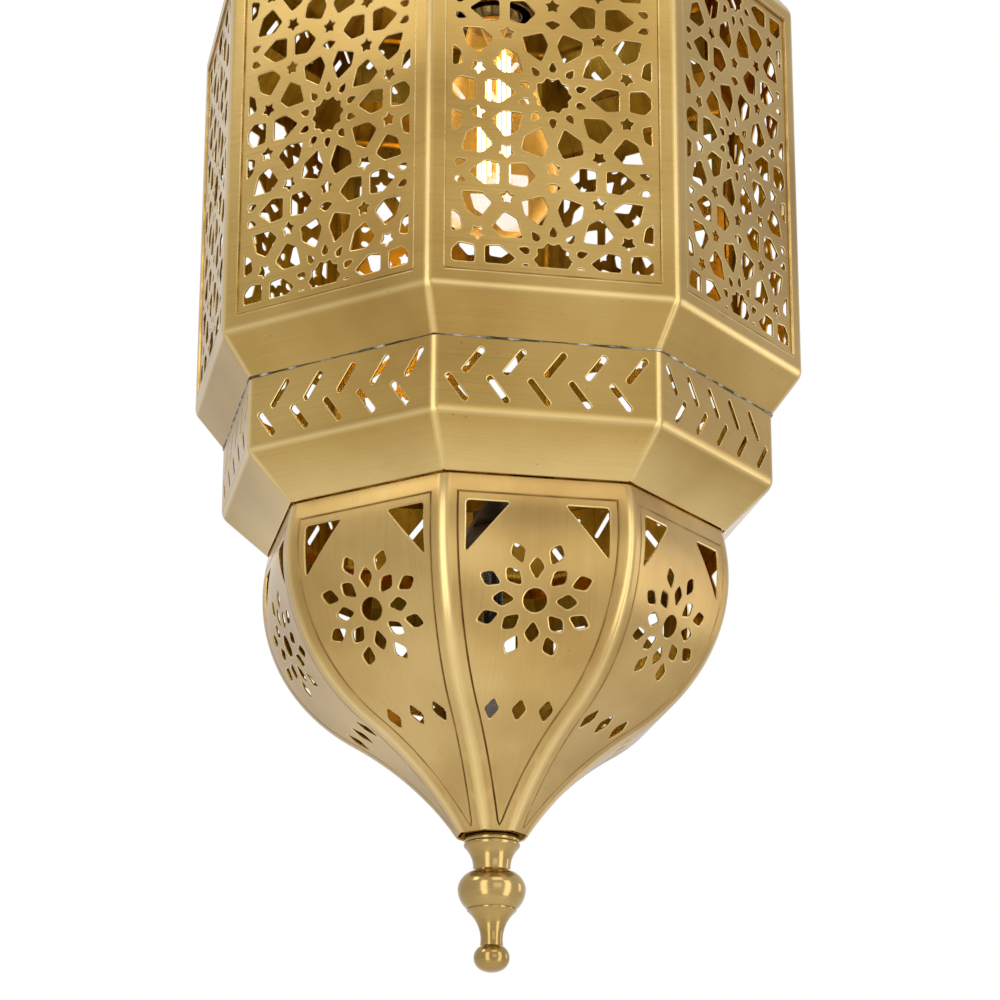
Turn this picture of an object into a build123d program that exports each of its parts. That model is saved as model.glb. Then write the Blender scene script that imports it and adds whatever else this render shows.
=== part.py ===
from build123d import *
from math import acos, atan2, cos, degrees, hypot, radians, sin, sqrt, tan
import os

os.makedirs("parts", exist_ok=True)

# Eight-sided pierced brass lantern, in millimetres. The origin is the top inside of the
# hanging ring, +Z is up, and the front face looks towards -Y.

# Sheet work and fits
sides = 8
sheet = 0.9  # wall of every sheet piece
rim_gap = 0.4  # free gap round the dome, which comes off
seat_gap = 0.3  # faces of turning parts stay this far apart
thread_clearance = 0.05  # radial, nut on thread

# Body cage: radii are to the corners of the octagon
body_radius = 150.0
skirt_inset = 15.0  # the waist's corners inside the body's
skirt_height = 19.2
band_height = 35.3
cove_height = 21.0
rail_height = 8.0
post_leg = 7.9
panel_lap = 3.5  # pierced panel behind its frame

# Pierced pattern: ten-fold rosettes on a rhombic lattice
star_pitch = 81.2
star_repeats = 2
star_lift = 14.4  # first row of stars above the body's lower edge
lattice_slope = 36.0  # from a star to its nearest neighbours, degrees
star_radius = 8.6
star_points = 10
petal_tip = 17.4
petal_shoulder = 24.5
petal_end = 30.9
petal_width = 11.4
petal_end_width = 9.8
pattern_strip = 3.3  # plain strip between the window's edge and the pattern
smallest_opening = 6.0  # square millimetres

# Chevron bands
slot_length = 14.5
slot_width = 2.5
slot_lean = 53.0  # from level, degrees
slot_margin = 10.5  # from a corner to the nearest slot's middle
slot_count = 5
slot_shift = 3.75
slot_row = 6.65
reversed_faces = (1, 2, 3, 4)  # faces whose chevrons point the other way

# Ogee of the dome and crown: apothems of the outer surface
ogee_bulge = 104.8
bulge_drop = 20.6
shoulder_arc = 88.7
shoulder_turn = 57.9
neck_arc = 155.5
ogee_spare = 4.0  # degrees of sheet trimmed level at rim and foot
dome_end_apothem = 16.0
crown_end_apothem = 30.0
rim_overlap = 5.0  # locating rim, above and below the dome's edge
plate_thickness = 2.0
plate_overhang = 0.5  # of the crown's plate; the dome's sits inside its foot

# Piercings of a dome gore, placed along the surface from its rim
triangle_drop = 13.3
triangle_reach = 32.5
triangle_width = 19.6
triangle_height = 23.5
rosette_drop = 57.0
rosette_hole_radius = 5.3
rosette_hole_sides = 8
rosette_count = 8
inner_ring_radius = 14.5
outer_ring_radius = 22.6
lozenge_length = 10.2
lozenge_width = 7.0
foot_row_drop = 112.5
foot_row_pitch = 12.5
foot_lozenge_length = 13.5
foot_lozenge_width = 6.4
piercing_depth = 4.0

# Hanging gear
ring_radius = 26.0
ring_wire = 6.0
eye_radius = 12.5
eye_wire = 7.0
link_gap = 0.6
loop_base_height = 15.0
loop_base_radius = 11.0
loop_neck_radius = 5.5
loop_bore_depth = 9.0
loop_rim_height = 5.0
loop_base_round = 1.2
collar_radius = 34.0
collar_thickness = 6.0
collar_round = 3.5
bush_offset = 20.0
bush_bearing = 45.0
bush_bore_radius = 4.0
bush_wall = 2.0
bush_flange_radius = 8.0
bush_flange_height = 1.5
bush_tail = 5.0

# Threaded rod, stem and nuts
thread_radius = 5.0
pipe_bore_radius = 3.5
cord_window_radius = 3.0
cord_window_length = 10.0
cord_window_drop = 20.0
nut_sides = 6
nut_across = 17.0
nut_height = 5.0
coupling_across = 14.0
coupling_length = 28.0
coupling_drop = 78.0  # its middle below the dome's rim
rod_end_gap = 2.0  # between rod and stud in the coupling
rod_proud = 3.0  # thread showing past a nut
bridge_width = 20.0
bridge_thickness = 3.0
bridge_level = 8.0  # its underside above the cove's lower edge
bridge_foot = 12.0

# Finial, from its top face down
finial_disc_radius = 12.7
finial_disc_height = 2.6
finial_collar_radius = 13.1
finial_collar_drop = 5.6
finial_neck_radius = 8.8
finial_neck_drop = 13.2
finial_ball_radius = 16.1
finial_ball_drop = 22.8
finial_groove_radius = 12.2
finial_groove_drop = 30.2
finial_groove_width = 0.8
finial_groove_depth = 0.6
finial_bell_sink = 1.3
finial_waist_radius = 5.6
finial_waist_drop = 49.4
finial_knob_radius = 8.3
finial_knob_drop = 56.0
finial_tip_radius = 11.0  # of the rounded end
finial_tip_half = 5.0
finial_length = 62.6
stud_depth = 26.0

# Lampholder and bulb with a 27 mm screw cap
holder_radius = 20.0
holder_wall = 1.5
holder_cap_height = 18.0
holder_boss_radius = 8.0
holder_boss_height = 8.0
holder_shell_height = 30.0
insulator_thickness = 8.0
screw_shell_wall = 0.6
screw_shell_length = 22.0
contact_radius = 4.0
contact_thickness = 1.2
bulb_length = 140.0
bulb_radius = 32.0
bulb_neck_radius = 13.0
bulb_wall = 1.0
cap_radius = 13.2
cap_length = 26.0
cap_skirt = 22.0
cap_contact_radius = 5.0
filament_count = 6
filament_radius = 0.9
filament_circle = 7.5
filament_low = 30.0  # lower ends above the bulb's tip
filament_high = 98.0
support_radius = 9.5
support_thickness = 0.8
stem_rod_radius = 1.6
stem_flare_radius = 7.0
stem_flare_length = 14.0

# Worked-out shape values
half_angle = radians(180 / sides)


def polar(radius, angle):
    return Vector(radius * cos(radians(angle)), radius * sin(radians(angle)))


def apothem(radius):
    return radius * cos(half_angle)


body_apothem = apothem(body_radius)
waist_apothem = apothem(body_radius - skirt_inset)
body_height = 2 * star_lift + star_repeats * star_pitch
bulge_centre = Vector(ogee_bulge - shoulder_arc, -bulge_drop)
neck_centre = bulge_centre + polar(shoulder_arc + neck_arc, -shoulder_turn)
rim_angle = atan2(bulge_drop, sqrt(shoulder_arc**2 - bulge_drop**2))
shoulder_length = shoulder_arc * (rim_angle + radians(shoulder_turn))
rim_inner_apothem = bulge_centre.X + sqrt((shoulder_arc - sheet) ** 2 - bulge_drop**2)


def ogee_height(end_apothem):
    return -neck_centre.Y - sqrt(neck_arc**2 - (neck_centre.X - end_apothem) ** 2)


# Levels, from the hanging ring down
ring_z = ring_wire / 2 - ring_radius
link_z = ring_z - ring_radius
eye_z = link_z + ring_wire / 2 + link_gap - (eye_radius - eye_wire / 2)
collar_z = eye_z - eye_radius - loop_base_height
crown_plate_z = collar_z - collar_thickness
crown_end_z = crown_plate_z - plate_thickness
crown_rim_z = crown_end_z - ogee_height(crown_end_apothem)
body_top_z = crown_rim_z - cove_height - band_height - skirt_height
body_bottom_z = body_top_z - body_height
skirt_end_z = body_bottom_z - skirt_height
band_end_z = skirt_end_z - band_height
cove_end_z = band_end_z - cove_height
dome_rim_z = cove_end_z - rim_gap
dome_end_z = dome_rim_z - ogee_height(dome_end_apothem)
finial_z = dome_end_z - seat_gap
mid_plane = Plane.XY.offset((body_top_z + body_bottom_z) / 2)

# The two mitres of the front face
right_mitre = Plane(origin=(0, 0, 0), z_dir=(cos(half_angle), sin(half_angle), 0))
left_mitre = Plane(origin=(0, 0, 0), z_dir=(-cos(half_angle), sin(half_angle), 0))


def radial_section(level):
    # Section through the front face's middle: x outwards, y up from a level
    return Plane(origin=(0, 0, level), x_dir=(0, -1, 0), z_dir=(-1, 0, 0))


def axis_section(level):
    # Plane for turned profiles: x is the radius, y the height above a level
    return Plane(origin=(0, 0, level), x_dir=(1, 0, 0), z_dir=(0, -1, 0))


def face_plane(face, distance, level):
    # Plane on one face of the octagon, seen from outside
    bearing = face * 360 / sides - 90
    outward = polar(1, bearing)
    return Plane(
        origin=(outward.X * distance, outward.Y * distance, level),
        x_dir=(-outward.Y, outward.X, 0),
        z_dir=(outward.X, outward.Y, 0),
    )


def crossing(p, d, q, e):
    along = ((q[0] - p[0]) * e[1] - (q[1] - p[1]) * e[0]) / (d[0] * e[1] - d[1] * e[0])
    return (p[0] + d[0] * along, p[1] + d[1] * along)


def inner_folds(folds):
    # Fold line of the inside of a sheet: mitred at each fold, level at both ends
    runs = []
    for p, q in zip(folds, folds[1:]):
        d = Vector(q[0] - p[0], q[1] - p[1]).normalized()
        runs.append(((p[0] + d.Y * sheet, p[1] - d.X * sheet), (d.X, d.Y)))
    level = (1, 0)
    points = [crossing(*runs[0], folds[0], level)]
    for before, after in zip(runs, runs[1:]):
        points.append(crossing(*before, *after))
    points.append(crossing(*runs[-1], folds[-1], level))
    return points


def octagon_wall(section):
    # One mitred side of a sheet ring, repeated round the axis
    with BuildPart() as side:
        extrude(section, amount=body_radius, both=True)
        split(bisect_by=right_mitre, keep=Keep.BOTTOM)
        split(bisect_by=left_mitre, keep=Keep.BOTTOM)
    with BuildPart() as ring:
        with PolarLocations(0, sides):
            add(side.part)
    return ring.part


# Folded sheets below the cage, from the rail down to the cove's lower edge
cove_rise = Vector(waist_apothem - rim_inner_apothem, cove_height)
cove_end_apothem = rim_inner_apothem + rim_gap + sheet * cove_rise.length / cove_height
outer_folds = [
    (body_apothem, body_bottom_z + rail_height),
    (body_apothem, body_bottom_z),
    (waist_apothem, skirt_end_z),
    (waist_apothem, band_end_z),
    (cove_end_apothem, cove_end_z),
]
lower_folds = inner_folds(outer_folds)

with BuildSketch(radial_section(0)) as skirt_section:
    Polygon(*outer_folds[:3], *lower_folds[2::-1], align=None)
with BuildPart() as lower_skirt:
    add(octagon_wall(skirt_section.sketch))
lower_skirt.part.label = "lower_skirt"
export_step(lower_skirt.part, "parts/lower_skirt.step")

with BuildSketch(radial_section(0)) as band_section:
    Polygon(*outer_folds[2:4], *lower_folds[3:1:-1], align=None)
with BuildPart() as lower_band:
    add(octagon_wall(band_section.sketch))
    slot_reach = waist_apothem * tan(half_angle) - slot_margin - slot_shift
    slot_pitch = 2 * slot_reach / (slot_count - 1)
    for face in range(sides):
        facing = -1 if face in reversed_faces else 1
        with BuildSketch(face_plane(face, waist_apothem, (skirt_end_z + band_end_z) / 2)):
            for row in (1, -1):
                for place in range(slot_count):
                    along = (place - (slot_count - 1) / 2) * slot_pitch + row * slot_shift
                    with Locations((facing * along, row * slot_row)):
                        Rectangle(slot_length, slot_width, rotation=facing * row * slot_lean)
        extrude(amount=-2 * sheet, mode=Mode.SUBTRACT)
lower_band.part.label = "lower_band"
export_step(lower_band.part, "parts/lower_band.step")

with BuildSketch(radial_section(0)) as cove_section:
    Polygon(*outer_folds[3:], *lower_folds[:2:-1], align=None)
with BuildPart() as lower_cove:
    add(octagon_wall(cove_section.sketch))
lower_cove.part.label = "lower_cove"
export_step(lower_cove.part, "parts/lower_cove.step")

with BuildPart() as upper_skirt:
    mirror(lower_skirt.part, about=mid_plane)
upper_skirt.part.label = "upper_skirt"
export_step(upper_skirt.part, "parts/upper_skirt.step")

with BuildPart() as upper_band:
    mirror(lower_band.part, about=mid_plane)
upper_band.part.label = "upper_band"
export_step(upper_band.part, "parts/upper_band.step")

with BuildPart() as crown_cove:
    mirror(lower_cove.part, about=mid_plane)
crown_cove.part.label = "crown_cove"
export_step(crown_cove.part, "parts/crown_cove.step")

# Corner posts: folded angles that stand on the lower rail and carry the upper one
window_half = body_apothem * tan(half_angle) - post_leg
inner_apothem = body_apothem - sheet
turned = Rot(0, 0, 360 / sides)
post_outline = [
    Vector(window_half, -body_apothem),
    Vector(body_apothem * tan(half_angle), -body_apothem),
    (turned * Pos(-window_half, -body_apothem)).position,
    (turned * Pos(-window_half, -inner_apothem)).position,
    Vector(inner_apothem * tan(half_angle), -inner_apothem),
    Vector(window_half, -inner_apothem),
]
with BuildPart() as corner_posts:
    with BuildSketch(Plane.XY.offset(body_bottom_z + rail_height)):
        with PolarLocations(0, sides):
            Polygon(*post_outline, align=None)
    extrude(amount=body_height - 2 * rail_height)
corner_posts.part.label = "corner_posts"
export_step(corner_posts.part, "parts/corner_posts.step")

# Pierced panels: flat sheets lapped behind the posts and rails
panel_plane = face_plane(0, inner_apothem, body_bottom_z)
star_row = star_pitch / 2
star_column = star_row / tan(radians(lattice_slope))
star_centres = []
for row in range(-1, 2 * star_repeats + 2):
    for column in (-1, 0, 1):
        if (row + column) % 2 == 0:
            star_centres.append((column * star_column, star_lift + row * star_row))
petal = [
    (petal_tip, 0),
    (petal_shoulder, petal_width / 2),
    (petal_end, petal_end_width / 2),
    (petal_end, -petal_end_width / 2),
    (petal_shoulder, -petal_width / 2),
]
frame_strip = rail_height + pattern_strip
with BuildSketch(panel_plane) as fretwork:
    with Locations(*star_centres):
        RegularPolygon(star_radius, star_points)
        with PolarLocations(0, star_points):
            Polygon(*petal, align=None)
    with Locations((0, body_height / 2)):
        Rectangle(
            2 * (window_half - pattern_strip),
            body_height - 2 * frame_strip,
            mode=Mode.INTERSECT,
        )
with BuildPart() as pierced_panel:
    with BuildSketch(panel_plane):
        with Locations((0, body_height / 2)):
            Rectangle(
                2 * (window_half + panel_lap), body_height - 2 * (rail_height - panel_lap)
            )
    extrude(amount=-sheet)
    openings = [face for face in fretwork.sketch.faces() if face.area > smallest_opening]
    extrude(openings, amount=-2 * sheet, mode=Mode.SUBTRACT)
for face in range(sides):
    with BuildPart() as panel:
        add(pierced_panel.part, rotation=(0, 0, face * 360 / sides))
    panel.part.label = f"pierced_panel_{face + 1}"
    export_step(panel.part, f"parts/pierced_panel_{face + 1}.step")


def gore_plane(drop):
    # Plane on the dome's front gore, at a distance along the surface from the rim
    if drop <= shoulder_length:
        normal = polar(1, degrees(rim_angle - drop / shoulder_arc))
        point = bulge_centre + normal * shoulder_arc
    else:
        normal = polar(1, degrees((drop - shoulder_length) / neck_arc) - shoulder_turn)
        point = neck_centre - normal * neck_arc
    return Plane(
        origin=(0, -point.X, dome_rim_z + point.Y), x_dir=(1, 0, 0), z_dir=(0, -normal.X, normal.Y)
    )


def lozenge(length, width):
    return [(length / 2, 0), (0, width / 2), (-length / 2, 0), (0, -width / 2)]


# Piercings of one gore: distance from the rim, place across, turn, outline
piercings = []
triangle_middle = triangle_drop + triangle_height / 2
for hand in (1, -1):
    corner = Vector(hand * triangle_reach, triangle_height / 2)
    across = Vector(hand * (triangle_reach - triangle_width), triangle_height / 2)
    foot = Vector(hand * triangle_reach, -triangle_height / 2)
    piercings.append((triangle_middle, 0, 0, [corner, across, foot]))
rosette_step = 360 / rosette_count
for place in range(rosette_count):
    for radius, angle in (
        (inner_ring_radius, place * rosette_step),
        (outer_ring_radius, place * rosette_step + rosette_step / 2),
    ):
        centre = polar(radius, angle)
        outline = lozenge(lozenge_length, lozenge_width)
        piercings.append((rosette_drop - centre.Y, centre.X, angle, outline))
for place in (-1, 0, 1):
    outline = lozenge(foot_lozenge_length, foot_lozenge_width)
    piercings.append((foot_row_drop, place * foot_row_pitch, 90, outline))

foot_angle = degrees(acos((neck_centre.X - dome_end_apothem) / neck_arc))
rim_degrees = degrees(rim_angle) + ogee_spare
foot_degrees = foot_angle - ogee_spare
shoulder_sweep = shoulder_turn + rim_degrees
neck_sweep = shoulder_turn - foot_degrees
with BuildPart() as pierced_gore:
    with BuildSketch(radial_section(dome_rim_z)):
        with BuildLine():
            for depth in (0, sheet):
                CenterArc(bulge_centre, shoulder_arc - depth, -shoulder_turn, shoulder_sweep)
                CenterArc(neck_centre, neck_arc + depth, 180 - shoulder_turn, neck_sweep)
            Line(
                bulge_centre + polar(shoulder_arc, rim_degrees),
                bulge_centre + polar(shoulder_arc - sheet, rim_degrees),
            )
            Line(
                neck_centre + polar(neck_arc, 180 - foot_degrees),
                neck_centre + polar(neck_arc + sheet, 180 - foot_degrees),
            )
        make_face()
    extrude(amount=body_radius, both=True)
    split(bisect_by=right_mitre, keep=Keep.BOTTOM)
    split(bisect_by=left_mitre, keep=Keep.BOTTOM)
    split(bisect_by=Plane.XY.offset(dome_rim_z), keep=Keep.BOTTOM)
    split(bisect_by=Plane.XY.offset(dome_end_z), keep=Keep.TOP)
    for drop, across, turn, outline in piercings:
        with BuildSketch(gore_plane(drop)):
            with Locations(Location((across, 0, 0), (0, 0, turn))):
                Polygon(*outline, align=None)
        extrude(amount=piercing_depth, both=True, mode=Mode.SUBTRACT)
    with BuildSketch(gore_plane(rosette_drop)):
        RegularPolygon(rosette_hole_radius, rosette_hole_sides)
    extrude(amount=piercing_depth, both=True, mode=Mode.SUBTRACT)
with BuildPart() as crown_side:
    mirror(pierced_gore.part, about=Plane.XY.offset((dome_rim_z + crown_rim_z) / 2))
    split(bisect_by=Plane.XY.offset(crown_end_z), keep=Keep.BOTTOM)
for face in range(sides):
    turn = (0, 0, face * 360 / sides)
    with BuildPart() as dome_gore:
        add(pierced_gore.part, rotation=turn)
    dome_gore.part.label = f"dome_gore_{face + 1}"
    export_step(dome_gore.part, f"parts/dome_gore_{face + 1}.step")
    with BuildPart() as crown_gore:
        add(crown_side.part, rotation=turn)
    crown_gore.part.label = f"crown_gore_{face + 1}"
    export_step(crown_gore.part, f"parts/crown_gore_{face + 1}.step")

# Locating rim soldered inside the dome's edge, and the plate that closes its foot
rim_spread = degrees(rim_overlap / shoulder_arc)
rim_low = degrees(rim_angle) - rim_spread
rim_high = degrees(rim_angle) + rim_spread
with BuildSketch(radial_section(dome_rim_z)) as rim_section:
    with BuildLine():
        for depth in (sheet, 2 * sheet):
            CenterArc(bulge_centre, shoulder_arc - depth, rim_low, rim_high - rim_low)
        for angle in (rim_low, rim_high):
            Line(
                bulge_centre + polar(shoulder_arc - sheet, angle),
                bulge_centre + polar(shoulder_arc - 2 * sheet, angle),
            )
    make_face()
with BuildPart() as dome_rim:
    add(octagon_wall(rim_section.sketch))
dome_rim.part.label = "dome_rim"
export_step(dome_rim.part, "parts/dome_rim.step")

with BuildPart() as dome_plate:
    with BuildSketch(Plane.XY.offset(dome_end_z)):
        foot_wall = sheet / cos(radians(foot_angle))
        RegularPolygon(
            dome_end_apothem - foot_wall, sides, major_radius=False, rotation=180 / sides
        )
        Circle(thread_radius + seat_gap, mode=Mode.SUBTRACT)
    extrude(amount=plate_thickness)
dome_plate.part.label = "dome_plate"
export_step(dome_plate.part, "parts/dome_plate.step")

# Turned finial on its stud
with BuildPart() as finial:
    with BuildSketch(axis_section(finial_z)):
        with BuildLine():
            disc_low = (finial_disc_radius, -finial_disc_height)
            collar_middle = (finial_disc_height + finial_collar_drop) / 2
            collar_low = (finial_disc_radius, -finial_collar_drop)
            neck_low = (finial_neck_radius, -finial_neck_drop)
            groove_high = Vector(finial_groove_radius, -finial_groove_drop)
            groove_low = groove_high - Vector(0, finial_groove_width)
            groove_inset = Vector(finial_groove_depth, 0)
            waist = Vector(finial_waist_radius, -finial_waist_drop)
            bell_middle = (groove_low + waist) / 2 - Vector(finial_bell_sink, 0)
            tip_centre = Vector(0, finial_tip_radius - finial_length)
            tip_angle = degrees(acos(finial_tip_half / finial_tip_radius))
            tip_edge = tip_centre + polar(finial_tip_radius, -tip_angle)
            Polyline((0, 0), (finial_disc_radius, 0), disc_low)
            ThreePointArc(disc_low, (finial_collar_radius, -collar_middle), collar_low)
            TangentArc(neck_low, collar_low, tangent=(0, 1))
            ThreePointArc(neck_low, (finial_ball_radius, -finial_ball_drop), groove_high)
            Polyline(
                groove_high, groove_high - groove_inset, groove_low - groove_inset, groove_low
            )
            ThreePointArc(groove_low, bell_middle, waist)
            ThreePointArc(waist, (finial_knob_radius, -finial_knob_drop), tip_edge)
            CenterArc(tip_centre, finial_tip_radius, -tip_angle, tip_angle - 90)
            Line((0, -finial_length), (0, 0))
        make_face()
    revolve(axis=Axis.Z)
    with Locations((0, 0, finial_z)):
        Hole(thread_radius + thread_clearance, depth=stud_depth)
finial.part.label = "finial"
export_step(finial.part, "parts/finial.step")

coupling_z = dome_rim_z - coupling_drop
with BuildPart() as finial_stud:
    with BuildSketch(Plane.XY.offset(finial_z - stud_depth)):
        Circle(thread_radius)
    extrude(amount=coupling_z - rod_end_gap / 2 - finial_z + stud_depth)
finial_stud.part.label = "finial_stud"
export_step(finial_stud.part, "parts/finial_stud.step")

with BuildPart() as coupling_nut:
    with BuildSketch(Plane.XY.offset(coupling_z - coupling_length / 2)):
        RegularPolygon(coupling_across / 2, nut_sides, major_radius=False)
        Circle(thread_radius + thread_clearance, mode=Mode.SUBTRACT)
    extrude(amount=coupling_length)
coupling_nut.part.label = "coupling_nut"
export_step(coupling_nut.part, "parts/coupling_nut.step")

# Bridges: flat bars front to back, with feet bent up along the coves
bridge_z = cove_end_z + bridge_level
cove_high, cove_low = Vector(*lower_folds[3]), Vector(*lower_folds[4])
cove_line = (cove_high - cove_low) / (cove_high.Y - cove_low.Y)
foot_reach = bridge_thickness * cove_line.length
bridge_top_z = bridge_z + bridge_thickness
bridge_foot_z = bridge_z + bridge_foot


def on_cove(level):
    return cove_low.X + cove_line.X * (level - cove_low.Y)


half_bridge = [
    (on_cove(bridge_z), bridge_z),
    (on_cove(bridge_foot_z), bridge_foot_z),
    (on_cove(bridge_foot_z) - foot_reach, bridge_foot_z),
    (on_cove(bridge_top_z) - foot_reach, bridge_top_z),
]
with BuildPart() as lower_bridge:
    with BuildSketch(radial_section(0)):
        Polygon(*half_bridge, *[(-x, z) for x, z in half_bridge[::-1]], align=None)
    extrude(amount=bridge_width / 2, both=True)
    with Locations((0, 0, bridge_top_z)):
        Hole(thread_radius + thread_clearance)
lower_bridge.part.label = "lower_bridge"
export_step(lower_bridge.part, "parts/lower_bridge.step")

with BuildPart() as upper_bridge:
    mirror(lower_bridge.part, about=mid_plane)
upper_bridge.part.label = "upper_bridge"
export_step(upper_bridge.part, "parts/upper_bridge.step")

upper_bridge_z = body_top_z + body_bottom_z - bridge_top_z
holder_z = upper_bridge_z - nut_height


def hex_nuts(levels):
    with BuildPart() as nuts:
        for level in levels:
            with BuildSketch(Plane.XY.offset(level)):
                RegularPolygon(nut_across / 2, nut_sides, major_radius=False)
                Circle(thread_radius + thread_clearance, mode=Mode.SUBTRACT)
            extrude(amount=nut_height)
    return nuts.part


with BuildPart() as rod_nuts:
    add(hex_nuts((bridge_z - nut_height, bridge_top_z)))
rod_nuts.part.label = "rod_nuts"
export_step(rod_nuts.part, "parts/rod_nuts.step")

with BuildPart() as stem_nuts:
    add(hex_nuts((holder_z, upper_bridge_z + bridge_thickness, crown_end_z - nut_height)))
stem_nuts.part.label = "stem_nuts"
export_step(stem_nuts.part, "parts/stem_nuts.step")

with BuildPart() as lamp_rod:
    with BuildSketch(Plane.XY.offset(coupling_z + rod_end_gap / 2)):
        Circle(thread_radius)
    extrude(amount=bridge_top_z + nut_height + rod_proud - coupling_z - rod_end_gap / 2)
lamp_rod.part.label = "lamp_rod"
export_step(lamp_rod.part, "parts/lamp_rod.step")

# Hollow stem from the hanging loop to the lampholder, with a window for the cord
stem_low_z = holder_z - holder_boss_height
with BuildPart() as stem_pipe:
    with BuildSketch(Plane.XY.offset(stem_low_z)):
        Circle(thread_radius)
        Circle(pipe_bore_radius, mode=Mode.SUBTRACT)
    extrude(amount=collar_z + loop_bore_depth - seat_gap - stem_low_z)
    with BuildSketch(axis_section(crown_end_z - cord_window_drop)):
        SlotCenterToCenter(cord_window_length, 2 * cord_window_radius, rotation=90)
    extrude(amount=thread_radius, both=True, mode=Mode.SUBTRACT)
stem_pipe.part.label = "stem_pipe"
export_step(stem_pipe.part, "parts/stem_pipe.step")

# Crown plate, collar, cord bush and hanging gear
bush_place = polar(bush_offset, bush_bearing)
bush_radius = bush_bore_radius + bush_wall
with BuildPart() as crown_plate:
    with BuildSketch(Plane.XY.offset(crown_end_z)):
        RegularPolygon(
            crown_end_apothem + plate_overhang, sides, major_radius=False, rotation=180 / sides
        )
        Circle(thread_radius + thread_clearance, mode=Mode.SUBTRACT)
        with Locations((bush_place.X, bush_place.Y)):
            Circle(bush_radius, mode=Mode.SUBTRACT)
    extrude(amount=plate_thickness)
crown_plate.part.label = "crown_plate"
export_step(crown_plate.part, "parts/crown_plate.step")

with BuildPart() as crown_collar:
    with BuildSketch(Plane.XY.offset(crown_plate_z)):
        Circle(collar_radius)
    extrude(amount=collar_thickness)
    fillet(crown_collar.edges().group_by(Axis.Z)[-1], collar_round)
    with Locations((0, 0, collar_z)):
        Hole(thread_radius + thread_clearance)
    with Locations((bush_place.X, bush_place.Y, collar_z)):
        Hole(bush_radius)
crown_collar.part.label = "crown_collar"
export_step(crown_collar.part, "parts/crown_collar.step")

bush_length = collar_thickness + plate_thickness + bush_tail
with BuildPart() as cord_bush:
    with BuildSketch(Plane.XY.offset(collar_z - bush_length)):
        with Locations((bush_place.X, bush_place.Y)):
            Circle(bush_radius)
    extrude(amount=bush_length)
    with BuildSketch(Plane.XY.offset(collar_z)):
        with Locations((bush_place.X, bush_place.Y)):
            Circle(bush_flange_radius)
    extrude(amount=bush_flange_height)
    with Locations((bush_place.X, bush_place.Y, collar_z + bush_flange_height)):
        Hole(bush_bore_radius)
cord_bush.part.label = "cord_bush"
export_step(cord_bush.part, "parts/cord_bush.step")

with BuildPart() as hanging_loop:
    with BuildSketch(axis_section(collar_z)):
        with BuildLine():
            base_rim = (loop_base_radius, loop_rim_height)
            neck_end = (loop_neck_radius, loop_base_height)
            middle_height = (loop_rim_height + loop_base_height) / 2
            base_middle = (loop_neck_radius + loop_base_round, middle_height)
            Polyline((0, loop_base_height), (0, 0), (loop_base_radius, 0), base_rim)
            ThreePointArc(base_rim, base_middle, neck_end)
            Line(neck_end, (0, loop_base_height))
        make_face()
    revolve(axis=Axis.Z)
    with Locations((0, 0, eye_z)):
        Torus(eye_radius, eye_wire / 2, rotation=(0, 90, 0))
    with BuildSketch(Plane.XY.offset(collar_z)):
        Circle(thread_radius + thread_clearance)
    extrude(amount=loop_bore_depth, mode=Mode.SUBTRACT)
hanging_loop.part.label = "hanging_loop"
export_step(hanging_loop.part, "parts/hanging_loop.step")

with BuildPart() as hanging_ring:
    with Locations((0, 0, ring_z)):
        Torus(ring_radius, ring_wire / 2, rotation=(90, 0, 0))
hanging_ring.part.label = "hanging_ring"
export_step(hanging_ring.part, "parts/hanging_ring.step")

# Lampholder: cap, shell, insulator, screw shell and centre contact
shell_z = holder_z - holder_cap_height
insulator_z = shell_z - insulator_thickness
shell_bore = holder_radius - holder_wall
boss_low = -holder_boss_height
with BuildPart() as lampholder_cap:
    with BuildSketch(axis_section(holder_z)):
        with BuildLine():
            bore = thread_radius + thread_clearance
            outer_low = (holder_radius, -holder_cap_height)
            inner_low = (shell_bore, -holder_cap_height)
            outer_high = (holder_boss_radius, boss_low)
            inner_high = (holder_boss_radius, boss_low - holder_wall)
            bore_low = (bore, boss_low - holder_wall)
            Polyline(inner_high, bore_low, (bore, 0), (holder_boss_radius, 0), outer_high)
            TangentArc(outer_high, outer_low, tangent=(1, 0))
            Line(outer_low, inner_low)
            TangentArc(inner_high, inner_low, tangent=(1, 0))
        make_face()
    revolve(axis=Axis.Z)
lampholder_cap.part.label = "lampholder_cap"
export_step(lampholder_cap.part, "parts/lampholder_cap.step")

with BuildPart() as lampholder_shell:
    with BuildSketch(Plane.XY.offset(shell_z - holder_shell_height)):
        Circle(holder_radius)
        Circle(shell_bore, mode=Mode.SUBTRACT)
    extrude(amount=holder_shell_height)
lampholder_shell.part.label = "lampholder_shell"
export_step(lampholder_shell.part, "parts/lampholder_shell.step")

with BuildPart() as lampholder_insulator:
    with BuildSketch(Plane.XY.offset(insulator_z)):
        Circle(shell_bore)
    extrude(amount=insulator_thickness)
lampholder_insulator.part.label = "lampholder_insulator"
export_step(lampholder_insulator.part, "parts/lampholder_insulator.step")

screw_shell_bore = cap_radius + seat_gap
with BuildPart() as lampholder_screw_shell:
    with BuildSketch(Plane.XY.offset(insulator_z - screw_shell_length)):
        Circle(screw_shell_bore + screw_shell_wall)
        Circle(screw_shell_bore, mode=Mode.SUBTRACT)
    extrude(amount=screw_shell_length)
lampholder_screw_shell.part.label = "lampholder_screw_shell"
export_step(lampholder_screw_shell.part, "parts/lampholder_screw_shell.step")

with BuildPart() as lampholder_contact:
    with BuildSketch(Plane.XY.offset(insulator_z - contact_thickness)):
        Circle(contact_radius)
    extrude(amount=contact_thickness)
lampholder_contact.part.label = "lampholder_contact"
export_step(lampholder_contact.part, "parts/lampholder_contact.step")

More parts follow.
